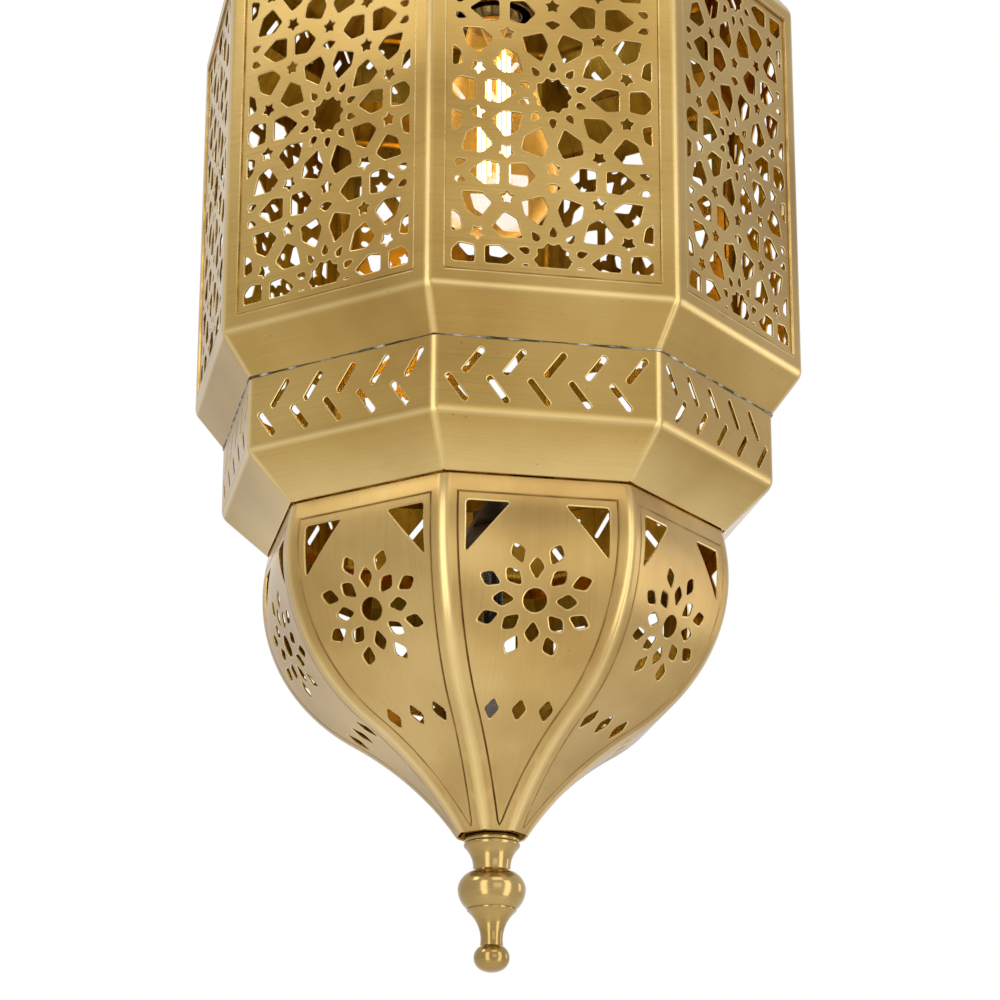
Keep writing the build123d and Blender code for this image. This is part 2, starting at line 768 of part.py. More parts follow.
# Bulb: screw cap up, teardrop glass down, straight filaments between two supports on a stem
bulb_z = insulator_z - contact_thickness - seat_gap - bulb_length
glass_length = bulb_length - cap_length
bulb_plane = axis_section(bulb_z)
with BuildPart() as bulb_cap:
    with BuildSketch(bulb_plane):
        Polygon(
            (0, glass_length),
            (cap_radius, glass_length),
            (cap_radius, glass_length + cap_skirt),
            (cap_contact_radius, bulb_length),
            (0, bulb_length),
            align=None,
        )
    revolve(axis=Axis.Z)
bulb_cap.part.label = "bulb_cap"
export_step(bulb_cap.part, "parts/bulb_cap.step")


def tangent_angle(ball_radius, neck_radius):
    # Bearing, from the ball's centre, of the point where a straight neck leaves the ball
    reach = hypot(neck_radius, glass_length - bulb_radius)
    bearing = degrees(atan2(glass_length - bulb_radius, neck_radius))
    return bearing - degrees(acos(ball_radius / reach))


with BuildPart() as bulb_glass:
    with BuildSketch(bulb_plane):
        with BuildLine():
            ball_centre = Vector(0, bulb_radius)
            for depth in (0, bulb_wall):
                radius = bulb_radius - depth
                neck = bulb_neck_radius - depth
                angle = tangent_angle(radius, neck)
                CenterArc(ball_centre, radius, -90, 90 + angle)
                Line(ball_centre + polar(radius, angle), (neck, glass_length))
            Line((0, 0), (0, bulb_wall))
            Line((bulb_neck_radius, glass_length), (bulb_neck_radius - bulb_wall, glass_length))
        make_face()
    revolve(axis=Axis.Z)
bulb_glass.part.label = "bulb_glass"
export_step(bulb_glass.part, "parts/bulb_glass.step")

with BuildPart() as bulb_stem:
    with BuildSketch(bulb_plane):
        Polygon(
            (0, glass_length),
            (stem_flare_radius, glass_length),
            (stem_rod_radius, glass_length - stem_flare_length),
            (stem_rod_radius, filament_high + support_thickness),
            (support_radius, filament_high + support_thickness),
            (support_radius, filament_high),
            (stem_rod_radius, filament_high),
            (stem_rod_radius, filament_low),
            (support_radius, filament_low),
            (support_radius, filament_low - support_thickness),
            (0, filament_low - support_thickness),
            align=None,
        )
    revolve(axis=Axis.Z)
bulb_stem.part.label = "bulb_stem"
export_step(bulb_stem.part, "parts/bulb_stem.step")

with BuildPart() as bulb_filaments:
    with BuildSketch(Plane.XY.offset(bulb_z + filament_low)):
        with PolarLocations(filament_circle, filament_count):
            Circle(filament_radius)
    extrude(amount=filament_high - filament_low)
bulb_filaments.part.label = "bulb_filaments"
export_step(bulb_filaments.part, "parts/bulb_filaments.step")
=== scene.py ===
import bmesh
import bpy
import math
from functools import partial
from mathutils import Matrix, Vector
from mathutils.geometry import delaunay_2d_cdt


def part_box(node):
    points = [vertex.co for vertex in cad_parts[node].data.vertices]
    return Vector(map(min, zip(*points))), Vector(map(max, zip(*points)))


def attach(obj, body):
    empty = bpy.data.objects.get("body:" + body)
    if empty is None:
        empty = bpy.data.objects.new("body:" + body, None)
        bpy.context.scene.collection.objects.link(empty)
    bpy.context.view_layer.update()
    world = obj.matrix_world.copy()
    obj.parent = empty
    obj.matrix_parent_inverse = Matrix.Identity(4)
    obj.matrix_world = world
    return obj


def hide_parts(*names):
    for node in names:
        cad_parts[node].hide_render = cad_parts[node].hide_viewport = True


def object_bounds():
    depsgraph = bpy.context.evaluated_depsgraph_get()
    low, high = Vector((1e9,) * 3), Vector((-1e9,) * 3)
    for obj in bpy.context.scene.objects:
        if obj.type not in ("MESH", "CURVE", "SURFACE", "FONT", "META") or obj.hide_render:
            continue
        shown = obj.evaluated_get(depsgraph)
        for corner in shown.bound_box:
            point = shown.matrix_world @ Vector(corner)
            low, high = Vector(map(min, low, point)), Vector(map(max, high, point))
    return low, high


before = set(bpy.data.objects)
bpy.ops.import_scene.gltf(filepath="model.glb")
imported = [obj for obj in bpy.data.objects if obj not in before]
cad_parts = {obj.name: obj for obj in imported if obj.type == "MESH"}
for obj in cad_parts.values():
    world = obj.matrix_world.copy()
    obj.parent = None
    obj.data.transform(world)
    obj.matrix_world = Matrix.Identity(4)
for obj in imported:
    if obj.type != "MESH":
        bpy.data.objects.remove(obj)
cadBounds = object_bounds()
mm = 0.001
sides = 8
faceTurn = 2 * math.pi / sides
mitre = math.tan(faceTurn / 2)
hands = (1, -1)  # right and left of a side
noiseLow, noiseHigh = 0.3, 0.7  # nearly all values of a noise lie between
print("frame loaded with", len(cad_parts), "nodes")


# finishes: every one reads object coordinates or the piece's own "grain" map

def plug(tree, socket, value):
    # a node stands for its first output
    if isinstance(value, bpy.types.Node):
        value = value.outputs[0]
    if isinstance(value, bpy.types.NodeSocket):
        tree.links.new(value, socket)
    elif value is not None:
        socket.default_value = value


def feed(tree, node, *values, **named):
    # small letters name settings of the node and capitals its sockets; other values feed the first sockets
    for key, value in named.items():
        if key[0].islower():
            setattr(node, key, value)
        else:
            plug(tree, node.inputs[key.replace("_", " ")], value)
    for socket, value in zip(node.inputs, values):
        plug(tree, socket, value)
    return node


def addNode(tree, kind, *values, **named):
    return feed(tree, tree.nodes.new(kind), *values, **named)


def calc(tree, operation, *values):
    return addNode(tree, "ShaderNodeMath", *values, operation=operation).outputs[0]


def objectPlace(tree):
    return addNode(tree, "ShaderNodeTexCoord").outputs["Object"]


def noiseOf(tree, place, scale, detail, stretch=(1, 1, 1)):
    mapping = addNode(tree, "ShaderNodeMapping", Vector=place, Scale=stretch)
    return addNode(tree, "ShaderNodeTexNoise", Vector=mapping, Scale=scale, Detail=detail).outputs["Fac"]


def rampOf(tree, value, *stops):
    ramp = addNode(tree, "ShaderNodeValToRGB", Fac=value)
    elements = ramp.color_ramp.elements
    while len(elements) < len(stops):
        elements.new(0.5)
    for element, (place, colour) in zip(elements, stops):
        element.position = place
        element.color = (*colour, 1)
    return ramp.outputs["Color"]


def spread(tree, value, low, high):
    return addNode(tree, "ShaderNodeMapRange", Value=value, From_Min=noiseLow, From_Max=noiseHigh,
                   To_Min=low, To_Max=high).outputs[0]


def mixed(tree, colour, other, share=1, blend="MIX"):
    node = addNode(tree, "ShaderNodeMix", data_type="RGBA", blend_type=blend)
    for index, value in ((0, share), (6, colour), (7, other)):  # sockets of the share and the colours
        plug(tree, node.inputs[index], value)
    return node.outputs[2]


def bumped(tree, height, distance, normal=None):
    return addNode(tree, "ShaderNodeBump", Height=height, Distance=distance, Normal=normal).outputs[0]


def newFinish(name):
    finish = bpy.data.materials.new(name)
    finish.use_nodes = True
    return finish, finish.node_tree, finish.node_tree.nodes["Principled BSDF"]


def metalFinish(name, base, **changes):
    look = {**base, **changes}
    finish, tree, shader = newFinish(name)
    place = objectPlace(tree)
    grainPlace = addNode(tree, "ShaderNodeUVMap", uv_map="grain") if look["grainMap"] else place
    clouds = noiseOf(tree, place, look["cloudScale"], 4)
    streaks = noiseOf(tree, grainPlace, 1, 3, look["streakStretch"])
    grain = noiseOf(tree, grainPlace, 1, 2, look["grainStretch"])
    specks = noiseOf(tree, place, look["speckScale"], 1)
    waves = noiseOf(tree, place, look["waveScale"], 1)
    colour = rampOf(tree, clouds, *zip((noiseLow, 0.5, noiseHigh), look["tones"]))
    # this attribute is high on ridges and folds, bright from rubbing and a painted highlight, and below zero
    # beside grooves, which are stained, and towards the gores' foot, which is painted shade
    wear = addNode(tree, "ShaderNodeAttribute", attribute_name="wear").outputs["Fac"]
    for amount, kind in ((wear, "worn"), (calc(tree, "MULTIPLY", wear, -1), "stain")):
        share = calc(tree, "MULTIPLY", amount, spread(tree, clouds, *look[kind + "Share"]))
        colour = mixed(tree, colour, (*look[kind], 1), share)
    for marks, tint in ((streaks, look["streakTint"]), (grain, look["grainTint"])):
        colour = mixed(tree, colour, spread(tree, marks, 1 - tint, 1 + tint), blend="MULTIPLY")
    speckled = rampOf(tree, specks, *zip(look["speckEdge"], (look["speckTint"], (1, 1, 1))))
    colour = mixed(tree, colour, speckled, blend="MULTIPLY")
    normal = bumped(tree, grain, look["grainHeight"], bumped(tree, waves, look["waveHeight"]))
    feed(tree, shader, Base_Color=colour, Normal=normal, Metallic=look["metallic"],
         Specular_Tint=(*look["edge"], 1), Roughness=spread(tree, streaks, *look["roughness"]))
    return finish


sheetLook = {
    "tones": ((0.26, 0.155, 0.041), (0.345, 0.222, 0.066), (0.41, 0.278, 0.096)),  # shade, body and bloom
    # the pale colour below is rubbed brass and a painted highlight on ridges and folds; the brown one is
    # patina beside the grooves and painted shade at the gores' foot
    "worn": (0.60, 0.45, 0.2), "wornShare": (0.5, 1), "stain": (0.19, 0.105, 0.03), "stainShare": (0.7, 0.1),
    "cloudScale": 10, "waveScale": 9, "waveHeight": 2.4 * mm,
    "grainMap": True, "grainStretch": (55, 2900, 1), "grainTint": 0.025, "grainHeight": 0.0015 * mm,
    "streakStretch": (10, 900, 1), "streakTint": 0.035,
    "speckScale": 420, "speckEdge": (0.17, 0.22), "speckTint": (0.62, 0.52, 0.4),
    "roughness": (0.27, 0.32), "metallic": 1, "edge": (1, 1, 1),  # edge: tint of what is seen at a low angle
}
turnedLook = {
    **sheetLook, "tones": ((0.24, 0.15, 0.047), (0.325, 0.22, 0.079), (0.4, 0.28, 0.11)),
    "grainMap": False, "grainStretch": (4, 4, 2600), "grainTint": 0.08, "streakStretch": (4, 4, 420),
    "roughness": (0.14, 0.22), "waveHeight": 0.1 * mm,
}
sheetBrass = metalFinish("sheetBrass", sheetLook)
# the gores' brass: grain along the gore, and lighter tones than the sheet brass as painted light on the gores
goreBrassLit = metalFinish(
    "goreBrassLit", sheetLook, grainStretch=(2900, 45, 1), streakStretch=(800, 9, 1), cloudScale=13,
    tones=((0.30, 0.183, 0.06), (0.40, 0.265, 0.094), (0.48, 0.335, 0.135)))
# the rims' finish, brighter than the sheet: polished rolled edges with a painted highlight; the highlight
# strips take it too
rimBrass = metalFinish(
    "rimBrass", sheetLook, cloudScale=40, roughness=(0.24, 0.3),
    tones=((0.36, 0.24, 0.08), (0.48, 0.34, 0.125), (0.6, 0.45, 0.19)))
cutBrass = metalFinish(
    "cutBrass", sheetLook, cloudScale=90, tones=((0.22, 0.125, 0.03), (0.38, 0.23, 0.06), (0.56, 0.36, 0.11)))
grooveBrass = metalFinish(
    "grooveBrass", sheetLook, cloudScale=60, roughness=(0.4, 0.5),
    tones=((0.16, 0.095, 0.027), (0.28, 0.17, 0.05), (0.4, 0.255, 0.083)))
# the inside faces: tarnished back of the sheet with painted shade, its amber tones and edge tint a painted
# warm glow of the bulb
innerShadedBrass = metalFinish(
    "innerShadedBrass", sheetLook, edge=(1, 0.6, 0.08), cloudScale=26, streakStretch=(160, 6, 1), streakTint=0.25,
    roughness=(0.2, 0.4), tones=((0.19, 0.095, 0.007), (0.37, 0.205, 0.016), (0.58, 0.36, 0.045)))
turnedBrass = metalFinish("turnedBrass", turnedLook)
# painted shade: the dome's plate is dark so that it reads as the shaded gap under the gores, its edge tint a
# dim shaded brown
plateShadeBrass = metalFinish(
    "plateShadeBrass", sheetLook, edge=(0.55, 0.37, 0.14),
    tones=((0.08, 0.05, 0.017), (0.13, 0.083, 0.03), (0.2, 0.13, 0.05)))
rodSteel = metalFinish(
    "rodSteel", turnedLook, roughness=(0.15, 0.3),
    tones=((0.03, 0.028, 0.026), (0.09, 0.085, 0.08), (0.3, 0.29, 0.28)))
bridgeSteel = metalFinish(
    "bridgeSteel", turnedLook, roughness=(0.3, 0.45), metallic=0.7,
    tones=((0.06, 0.036, 0.014), (0.11, 0.068, 0.028), (0.19, 0.125, 0.058)))
zincSteel = metalFinish(
    "zincSteel", turnedLook, roughness=(0.25, 0.4), cloudScale=60,
    tones=((0.22, 0.21, 0.20), (0.36, 0.355, 0.35), (0.48, 0.47, 0.46)))
greySolder = metalFinish(
    "greySolder", turnedLook, roughness=(0.35, 0.5), cloudScale=110,
    tones=((0.022, 0.017, 0.01), (0.09, 0.075, 0.054), (0.52, 0.47, 0.39)))
blackMoulding = metalFinish(
    "blackMoulding", turnedLook, grainStretch=(500, 500, 500), roughness=(0.42, 0.55), metallic=0,
    tones=((0.012, 0.012, 0.012), (0.02, 0.02, 0.02), (0.032, 0.03, 0.03)))

glassLook = {
    # the glass colours below are warm amber: a little dust, and a painted glow of the lit bulb
    "dust": (0.4, 0.26, 0.07), "tint": (0.55, 0.39, 0.14), "dustAndGlowScale": 45, "roughness": (0.01, 0.03),
    "clear": 0.07, "rim": 0.4, "blend": 0.35,  # the rim hides more than the middle
    "glow": (1.0, 0.5, 0.08), "glowStrength": 0.9,  # painted glow: the glass itself shines with a warm veil
}
clearGlass, glassTree, glassShader = newFinish("clearGlass")
glassRim = addNode(glassTree, "ShaderNodeLayerWeight", Blend=glassLook["blend"]).outputs["Facing"]
glassDustAndGlow = noiseOf(glassTree, objectPlace(glassTree), glassLook["dustAndGlowScale"], 3)
feed(glassTree, glassShader, Alpha=spread(glassTree, glassRim, glassLook["clear"], glassLook["rim"]),
     Base_Color=rampOf(glassTree, glassDustAndGlow, (noiseLow, glassLook["dust"]), (noiseHigh, glassLook["tint"])),
     Roughness=spread(glassTree, glassDustAndGlow, *glassLook["roughness"]),
     Emission_Color=(*glassLook["glow"], 1), Emission_Strength=glassLook["glowStrength"])

glowLook = {
    "end": (0.35, (1.0, 0.55, 0.16)), "core": (0.6, (1.0, 0.7, 0.3)),
    "stretch": (90, 90, 420), "strength": 16.0, "roughness": 0.6,
}
filamentGlow, glowTree, glowShader = newFinish("filamentGlow")
glowBeads = noiseOf(glowTree, objectPlace(glowTree), 1, 2, glowLook["stretch"])
glowColour = rampOf(glowTree, glowBeads, glowLook["end"], glowLook["core"])
feed(glowTree, glowShader, Base_Color=glowColour, Emission_Color=glowColour,
     Emission_Strength=glowLook["strength"], Roughness=glowLook["roughness"])
print("finishes made:", len(bpy.data.materials))


# pieces: meshes are in metres in the shared frame, one object at the origin for each

def pieceName(node):
    words = node.split("_")
    return words[0] + "".join(word.capitalize() for word in words[1:])


def grainMap(mesh):
    layer = mesh.uv_layers.new(name="grain")
    for face in mesh.polygons:
        level = Vector((-face.normal.y, face.normal.x, 0))  # near zero on a face that lies flat
        along = level.normalized() if level.length > 0.05 else Vector((1, 0, 0))
        across = face.normal.cross(along)
        for corner in face.loop_indices:
            place = mesh.vertices[mesh.loops[corner].vertex_index].co
            layer.data[corner].uv = (place.dot(along), place.dot(across))


def newObject(name, data):
    item = bpy.data.objects.new(name, data)
    bpy.context.collection.objects.link(item)
    return item


def addPiece(node, source, finishes, body, name=None, smooth=None, weighted=False):
    # the piece stands for a node of the frame, or for none
    name = name or pieceName(node)
    mesh = source
    if isinstance(source, bmesh.types.BMesh):
        mesh = bpy.data.meshes.new(name)
        source.to_mesh(mesh)
        source.free()
    mesh.name = name
    if len(mesh.materials):  # clearing would also reset which face has which finish
        mesh.materials.clear()
    for finish in finishes:
        mesh.materials.append(finish)
    if "grain" not in mesh.uv_layers:
        grainMap(mesh)
    mesh.polygons.foreach_set("use_smooth", [smooth is not None] * len(mesh.polygons))
    if smooth is not None:
        mesh.set_sharp_from_angle(angle=math.radians(smooth))
        finishesAt = {}  # shading also breaks where two finishes meet
        for face in mesh.polygons:
            for key in face.edge_keys:
                finishesAt.setdefault(key, set()).add(face.material_index)
        for edge in mesh.edges:
            if len(finishesAt.get(edge.key, ())) > 1:
                edge.use_edge_sharp = True
    piece = newObject(name, mesh)
    if weighted:
        piece.modifiers.new("evenShading", "WEIGHTED_NORMAL").keep_sharp = True
    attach(piece, body)
    if node:
        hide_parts(node)


def nodeCopy(node):
    shape = bmesh.new()
    shape.from_mesh(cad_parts[node].data)
    bmesh.ops.remove_doubles(shape, verts=shape.verts, dist=1e-6)
    return shape


def softened(node, bevel):
    # the solid's shape with rounded, worn edges
    flat, sharp = math.radians(2), math.radians(30)
    shape = nodeCopy(node)
    bmesh.ops.dissolve_limit(shape, angle_limit=flat, verts=shape.verts, edges=shape.edges)
    shape.normal_update()
    edges = [edge for edge in shape.edges if edge.is_manifold and edge.calc_face_angle(0) > sharp]
    bmesh.ops.bevel(shape, geom=edges, offset=bevel, segments=3, profile=0.5, affect="EDGES", material=1,
                    clamp_overlap=True)
    return shape


# outlines and turned profiles

def polar(radius, angle):
    return Vector((radius * math.cos(angle), radius * math.sin(angle)))


def arcThrough(first, middle, last, steps):
    a, b, c = (Vector(point) for point in (first, middle, last))
    d = 2 * (a.x * (b.y - c.y) + b.x * (c.y - a.y) + c.x * (a.y - b.y))
    aa, bb, cc = a.length_squared, b.length_squared, c.length_squared
    centre = Vector((
        (aa * (b.y - c.y) + bb * (c.y - a.y) + cc * (a.y - b.y)) / d,
        (aa * (c.x - b.x) + bb * (a.x - c.x) + cc * (b.x - a.x)) / d,
    ))
    start = math.atan2(a.y - centre.y, a.x - centre.x)
    full = 2 * math.pi
    sweep = (math.atan2(c.y - centre.y, c.x - centre.x) - start) % full
    part = (math.atan2(b.y - centre.y, b.x - centre.x) - start) % full
    if sweep < part:
        sweep -= full
    radius = (a - centre).length
    angles = [start + sweep * i / steps for i in range(steps + 1)]
    return [(centre.x + radius * math.cos(angle), centre.y + radius * math.sin(angle)) for angle in angles]


def lathe(profile, spokes):
    # a profile of (radius, height) spun about the axis
    shape = bmesh.new()
    rings = []
    for radius, height in profile:
        if radius < 1e-7:
            rings.append([shape.verts.new((0, 0, height))] * spokes)
        else:
            places = [polar(radius, 2 * math.pi * i / spokes) for i in range(spokes)]
            rings.append([shape.verts.new((*place, height)) for place in places])
    for low, high in zip(rings, rings[1:]):
        for i in range(spokes):
            unique = list(dict.fromkeys((low[i], low[i - 1], high[i - 1], high[i])))
            if len(unique) > 2:
                shape.faces.new(unique)
    bmesh.ops.recalc_face_normals(shape, faces=shape.faces)
    return shape


def signedArea(loop):
    return sum(p.x * q.y - q.x * p.y for p, q in zip(loop, loop[1:] + loop[:1])) / 2


def mirrored(half):
    return half + [(x, -y) for x, y in half[::-1] if y]


def starLoop(outer, inner, points, turn):
    return [polar(inner if i % 2 else outer, turn + math.pi * i / points) for i in range(2 * points)]


def turnedLoop(points, angle, centre=(0, 0)):
    spin = Matrix.Rotation(angle, 2)
    return [spin @ Vector(point) + Vector(centre) for point in points]


def windowed(loop, halfWidth, low, high):
    # cut an outline back to the window of the panel
    for axis, limit, sign in ((0, halfWidth, 1), (0, -halfWidth, -1), (1, high, 1), (1, low, -1)):
        kept = []
        for p, q in zip(loop, loop[1:] + loop[:1]):
            insideP, insideQ = sign * (limit - p[axis]) >= 0, sign * (limit - q[axis]) >= 0
            if insideP:
                kept.append(p)
            if insideP != insideQ:
                kept.append(p.lerp(q, (limit - p[axis]) / (q[axis] - p[axis])))
        loop = kept
        if len(loop) < 3:
            return []
    return loop


def rounded(loop, radius, steps=3):
    # each corner becomes a short curve, no longer than a third of its sides
    curve = []
    for i, corner in enumerate(loop):
        before, after = loop[i - 1] - corner, loop[(i + 1) % len(loop)] - corner
        p = corner + before.normalized() * min(radius, before.length / 3)
        q = corner + after.normalized() * min(radius, after.length / 3)
        for step in range(steps + 1):
            t = step / steps
            curve.append(p * (1 - t) ** 2 + corner * 2 * t * (1 - t) + q * t ** 2)
    return curve


def grown(loop, distance):
    sharpest = 0.4  # keeps the tips of narrow corners short
    result = []
    for i, point in enumerate(loop):
        before = (point - loop[i - 1]).normalized()
        after = (loop[(i + 1) % len(loop)] - point).normalized()
        normal = Vector((before.y + after.y, -before.x - after.x))
        result.append(point + normal * distance / max(normal.length_squared / 2, sharpest))
    return result


# pierced sheets, drawn flat in millimetres: x across, y along, z minus the depth

frontFace, rimFace, cutFace, grooveFace, backFace = range(5)
sheetFinishes = (sheetBrass, rimBrass, cutBrass, grooveBrass, innerShadedBrass)
goreFinishes = (goreBrassLit, *sheetFinishes[1:])
rimRoll = {"reach": 0.25, "drop": 0.2, "end": 0.5}  # middle and end of a hole's rolled rim, in bevels
tiny = 1e-4


def facedOutward(shape):
    # a thin bent sheet can come out turned, which the sign of its volume shows
    bmesh.ops.recalc_face_normals(shape, faces=shape.faces)
    if shape.calc_volume(signed=True) < 0:
        bmesh.ops.reverse_faces(shape, faces=shape.faces)


def piercedSheet(outer, holes, thickness, bevel, lines=(), grooveDepth=0.0, rows=()):
    # a closed sheet with rolled rims round its holes; lines are (points, whether they are sunk)
    shape = bmesh.new()
    loops = [loop if signedArea(loop) > 0 else loop[::-1] for loop in (outer, *holes)]
    fronts = [loops[0]] + [grown(hole, bevel) for hole in loops[1:]]
    for outlines, depth, drawn in ((fronts, 0, lines), (loops, thickness, ())):
        points, edges, faces = [], [], []
        for outline in outlines:
            faces.append(list(range(len(points), len(points) + len(outline))))
            points.extend(outline)
        sunk = set()
        for line, isSunk in drawn:
            first = len(points)
            points.extend(line)
            edges.extend((i, i + 1) for i in range(first, len(points) - 1))
            if isSunk:
                sunk.update(range(first, len(points)))
        places, _, triangles, sources, _, owners = delaunay_2d_cdt(points, edges, faces, 1, 1e-5)
        deep = [bool(sunk.intersection(source)) for source in sources]
        verts = [
            shape.verts.new((place.x, place.y, -depth - (grooveDepth if isDeep else 0)))
            for place, isDeep in zip(places, deep)
        ]
        for triangle, owner in zip(triangles, owners):
            if not any(index > 0 for index in owner):
                face = shape.faces.new([verts[i] for i in triangle])
                isGroove = any(deep[i] for i in triangle)
                face.material_index = backFace if depth else grooveFace if isGroove else frontFace
    for i, loop in enumerate(loops):
        rings = [(loop, 0), (loop, thickness)]
        if i:
            middle = (grown(loop, rimRoll["reach"] * bevel), rimRoll["drop"] * bevel)
            rings = [(fronts[i], 0), middle, (loop, rimRoll["end"] * bevel), (loop, thickness)]
        rings = [[shape.verts.new((p.x, p.y, -depth)) for p in outline] for outline, depth in rings]
        for step, (high, low) in enumerate(zip(rings, rings[1:])):
            for j in range(len(high)):
                face = shape.faces.new((high[j], high[j - 1], low[j - 1], low[j]))
                face.material_index = rimFace if step < len(rings) - 2 else cutFace
    bmesh.ops.remove_doubles(shape, verts=shape.verts, dist=tiny)
    for row in rows:
        everything = shape.verts[:] + shape.edges[:] + shape.faces[:]
        bmesh.ops.bisect_plane(shape, geom=everything, plane_co=(0, row, 0), plane_no=(0, 1, 0), dist=tiny)
    bmesh.ops.recalc_face_normals(shape, faces=shape.faces)
    shape.verts.layers.float.new("wear")
    grain = shape.loops.layers.uv.new("grain")
    for face in shape.faces:
        for corner in face.loops:
            corner[grain].uv = corner.vert.co.xy * mm
    return shape


# sheets bent round the octagon: a run gives apothem, level and outward normal along the sheet

def foldedRun(points, radius):
    # straight sheet with rounded folds; also gives its length, rows for the folds and their middles
    foldSteps = 6
    points = [Vector(point) for point in points]
    spans, rows, middles, done, start = [], [], [], 0.0, points[0]
    for i in range(1, len(points)):
        way = (points[i] - points[i - 1]).normalized()
        normal = Vector((-way.y, way.x))
        isFold = i < len(points) - 1
        after = (points[i + 1] - points[i]).normalized() if isFold else way
        bend = math.acos(max(-1, min(1, way.dot(after))))
        setback = radius * math.tan(bend / 2)
        stop = points[i] - way * setback
        spans.append((done, start, way, normal))
        done += (stop - start).length
        if isFold:
            spans.append((done, stop - normal * radius, None, normal))
            rows += [done + radius * bend * step / foldSteps for step in range(foldSteps + 1)]
            middles.append(done + radius * bend / 2)
            done += radius * bend
            start = points[i] + after * setback

    def runAt(along):
        passed = [span for span in spans if span[0] <= along + 1e-9 or span is spans[0]]
        first, place, way, normal = passed[-1]
        if way:
            return place + way * (along - first), normal
        turn = (along - first) / radius
        turned = Vector((
            normal.x * math.cos(turn) + normal.y * math.sin(turn),
            normal.y * math.cos(turn) - normal.x * math.sin(turn),
        ))
        return place + turned * radius, turned

    return runAt, done, rows, middles


def sheetFace(run, first, last, rows, holes, plan, lines=()):
    # one side of a sheet ring, drawn flat
    endGap = 0.01
    inside = sorted(row for row in rows if first + endGap < row < last - endGap)
    ticks = [first, *inside, last]

    def half(along):
        return run(along)[0].x * mitre

    def across(tick):
        # an end has the points where the lines beside the corners meet it, so that the sheet closes
        places = [half(tick) - inset for inset in plan["insets"]]
        return [Vector((place, tick)) for place in places + [-place for place in places[::-1]]]

    outer = [Vector((half(tick), tick)) for tick in ticks] + across(last)
    outer += [Vector((-half(tick), tick)) for tick in ticks[::-1]] + across(first)[::-1]
    drawn = list(lines)
    for inset in plan["insets"]:
        for hand in hands:
            drawn.append(([Vector((hand * (half(tick) - inset), tick)) for tick in ticks], False))
    return piercedSheet(outer, holes, plan["sheet"], plan["bevel"], drawn, plan["grooveDepth"], inside)


def bent(shape, run, plan, level, upward=False, softEnds=(), softSide=None, folds=()):
    # bend the flat side to its run; soft ends (place along, radius) and soft sides (place across, radius)
    # are rounded cut edges, and wear with a painted highlight grows towards the corners and folds; on the
    # gores a painted shade grows towards the foot
    cornerShare = 0.35  # of half a side, at most, that the rounding of a corner takes
    nearLine = 0.02  # so close counts as on the groove's edge
    flip = -1 if upward else 1
    wear = shape.verts.layers.float["wear"]
    for vert in shape.verts:
        x, along, z = vert.co
        place, normal = run(along)
        apothem = place.x
        inset = apothem * mitre - abs(x)
        setback = min(plan["setback"], cornerShare * apothem * mitre)
        depth = -z
        edges = [(abs(along - end), radius) for end, radius in softEnds]
        if softSide:
            edges.append((abs(abs(x) - softSide[0]), softSide[1]))
        for away, radius in edges:
            if z > -tiny and away < radius:
                depth += radius - math.sqrt(radius ** 2 - (radius - away) ** 2)
        if inset < setback:
            depth += (setback - inset) ** 2 / (2 * setback / mitre)
        near = [inset / setback] + [abs(along - fold) / plan["foldWearAndSheen"] for fold in folds]
        vert[wear] = max(0, 1 - min(near))
        if "groove" in plan:
            # painted shade: the gores darken towards the foot
            if not vert[wear]:
                start, stop, amount = plan["footShade"]
                vert[wear] = -amount * max(0, min(1, (along - start) / (stop - start)))
            fromGroove = min(abs(inset - plan["groove"]), abs(along - plan["grooveTop"]))
            if fromGroove < plan["grooveHalf"] + nearLine:
                vert[wear] = -plan["grooveStain"]
        if z < tiny - plan["sheet"]:
            vert[wear] = 0  # the back gets no wear, painted highlight or painted shade
        place = place - normal * depth
        vert.co = (x * place.x / apothem * mm, -place.x * mm, level + flip * place.y * mm)
    facedOutward(shape)


def paintedHighlightStrip(shape, across, along):
    # front faces between two places across and two places along, still flat, take the rims' finish: a painted
    # highlight line on the flat sheet
    for face in shape.faces:
        middle = face.calc_center_median()
        isInside = across[0] < abs(middle.x) < across[1] and along[0] < middle.y < along[1]
        if isInside and face.material_index == frontFace:
            face.material_index = rimFace


def aroundAxis(shape, face):
    turned = shape.copy()
    turn = Matrix.Rotation(face * faceTurn, 3, "Z")
    bmesh.ops.rotate(turned, verts=turned.verts, cent=(0, 0, 0), matrix=turn)
    return turned


def joined(shapes):
    whole = bmesh.new()
    for shape in shapes:
        mesh = bpy.data.meshes.new("side")
        shape.to_mesh(mesh)
        whole.from_mesh(mesh)
        bpy.data.meshes.remove(mesh)
        shape.free()
    return whole


skirtLow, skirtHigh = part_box("lower_skirt")
panelLow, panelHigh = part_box("pierced_panel_1")
postLow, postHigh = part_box("corner_posts")
railHeight = 8.0
postFace = 7.9  # from a corner to the window
bodyBottom = postLow.z - railHeight * mm
bodyTop = postHigh.z + railHeight * mm
bodyApothem = skirtHigh.y / mm
bodyHeight = (bodyTop - bodyBottom) / mm
postHalf = bodyApothem * mitre
windowHalf = postHalf - postFace
print("body from", round(bodyBottom, 4), "to", round(bodyTop, 4))

# fretwork panels: ten-fold rosettes on a rhombic lattice
fretwork = {
    "points": 10, "pitch": 81.2, "column": 55.9, "lift": 14.4,  # lattice of star centres
    "star": (9.2, 7.3), "smallStar": (36.3, 3.7, 2.0),
    "petal": (17.2, 24.5, 31.1, 11.7, 10.1), "shield": (35.9, 43.0, 48.2, 10.0, 11.7),
    "kite": (11.6, 17.0, 3.8, 0.35, 0.3), "dart": (35.3, 7.8, 5.0, 0.15),  # last: shares for their widths
    "halfWidth": 46.2, "margin": 11.3, "smallest": 1.6, "apart": 2.0,
    "corner": 1.25, "sheet": 0.9, "bevel": 0.45,
}


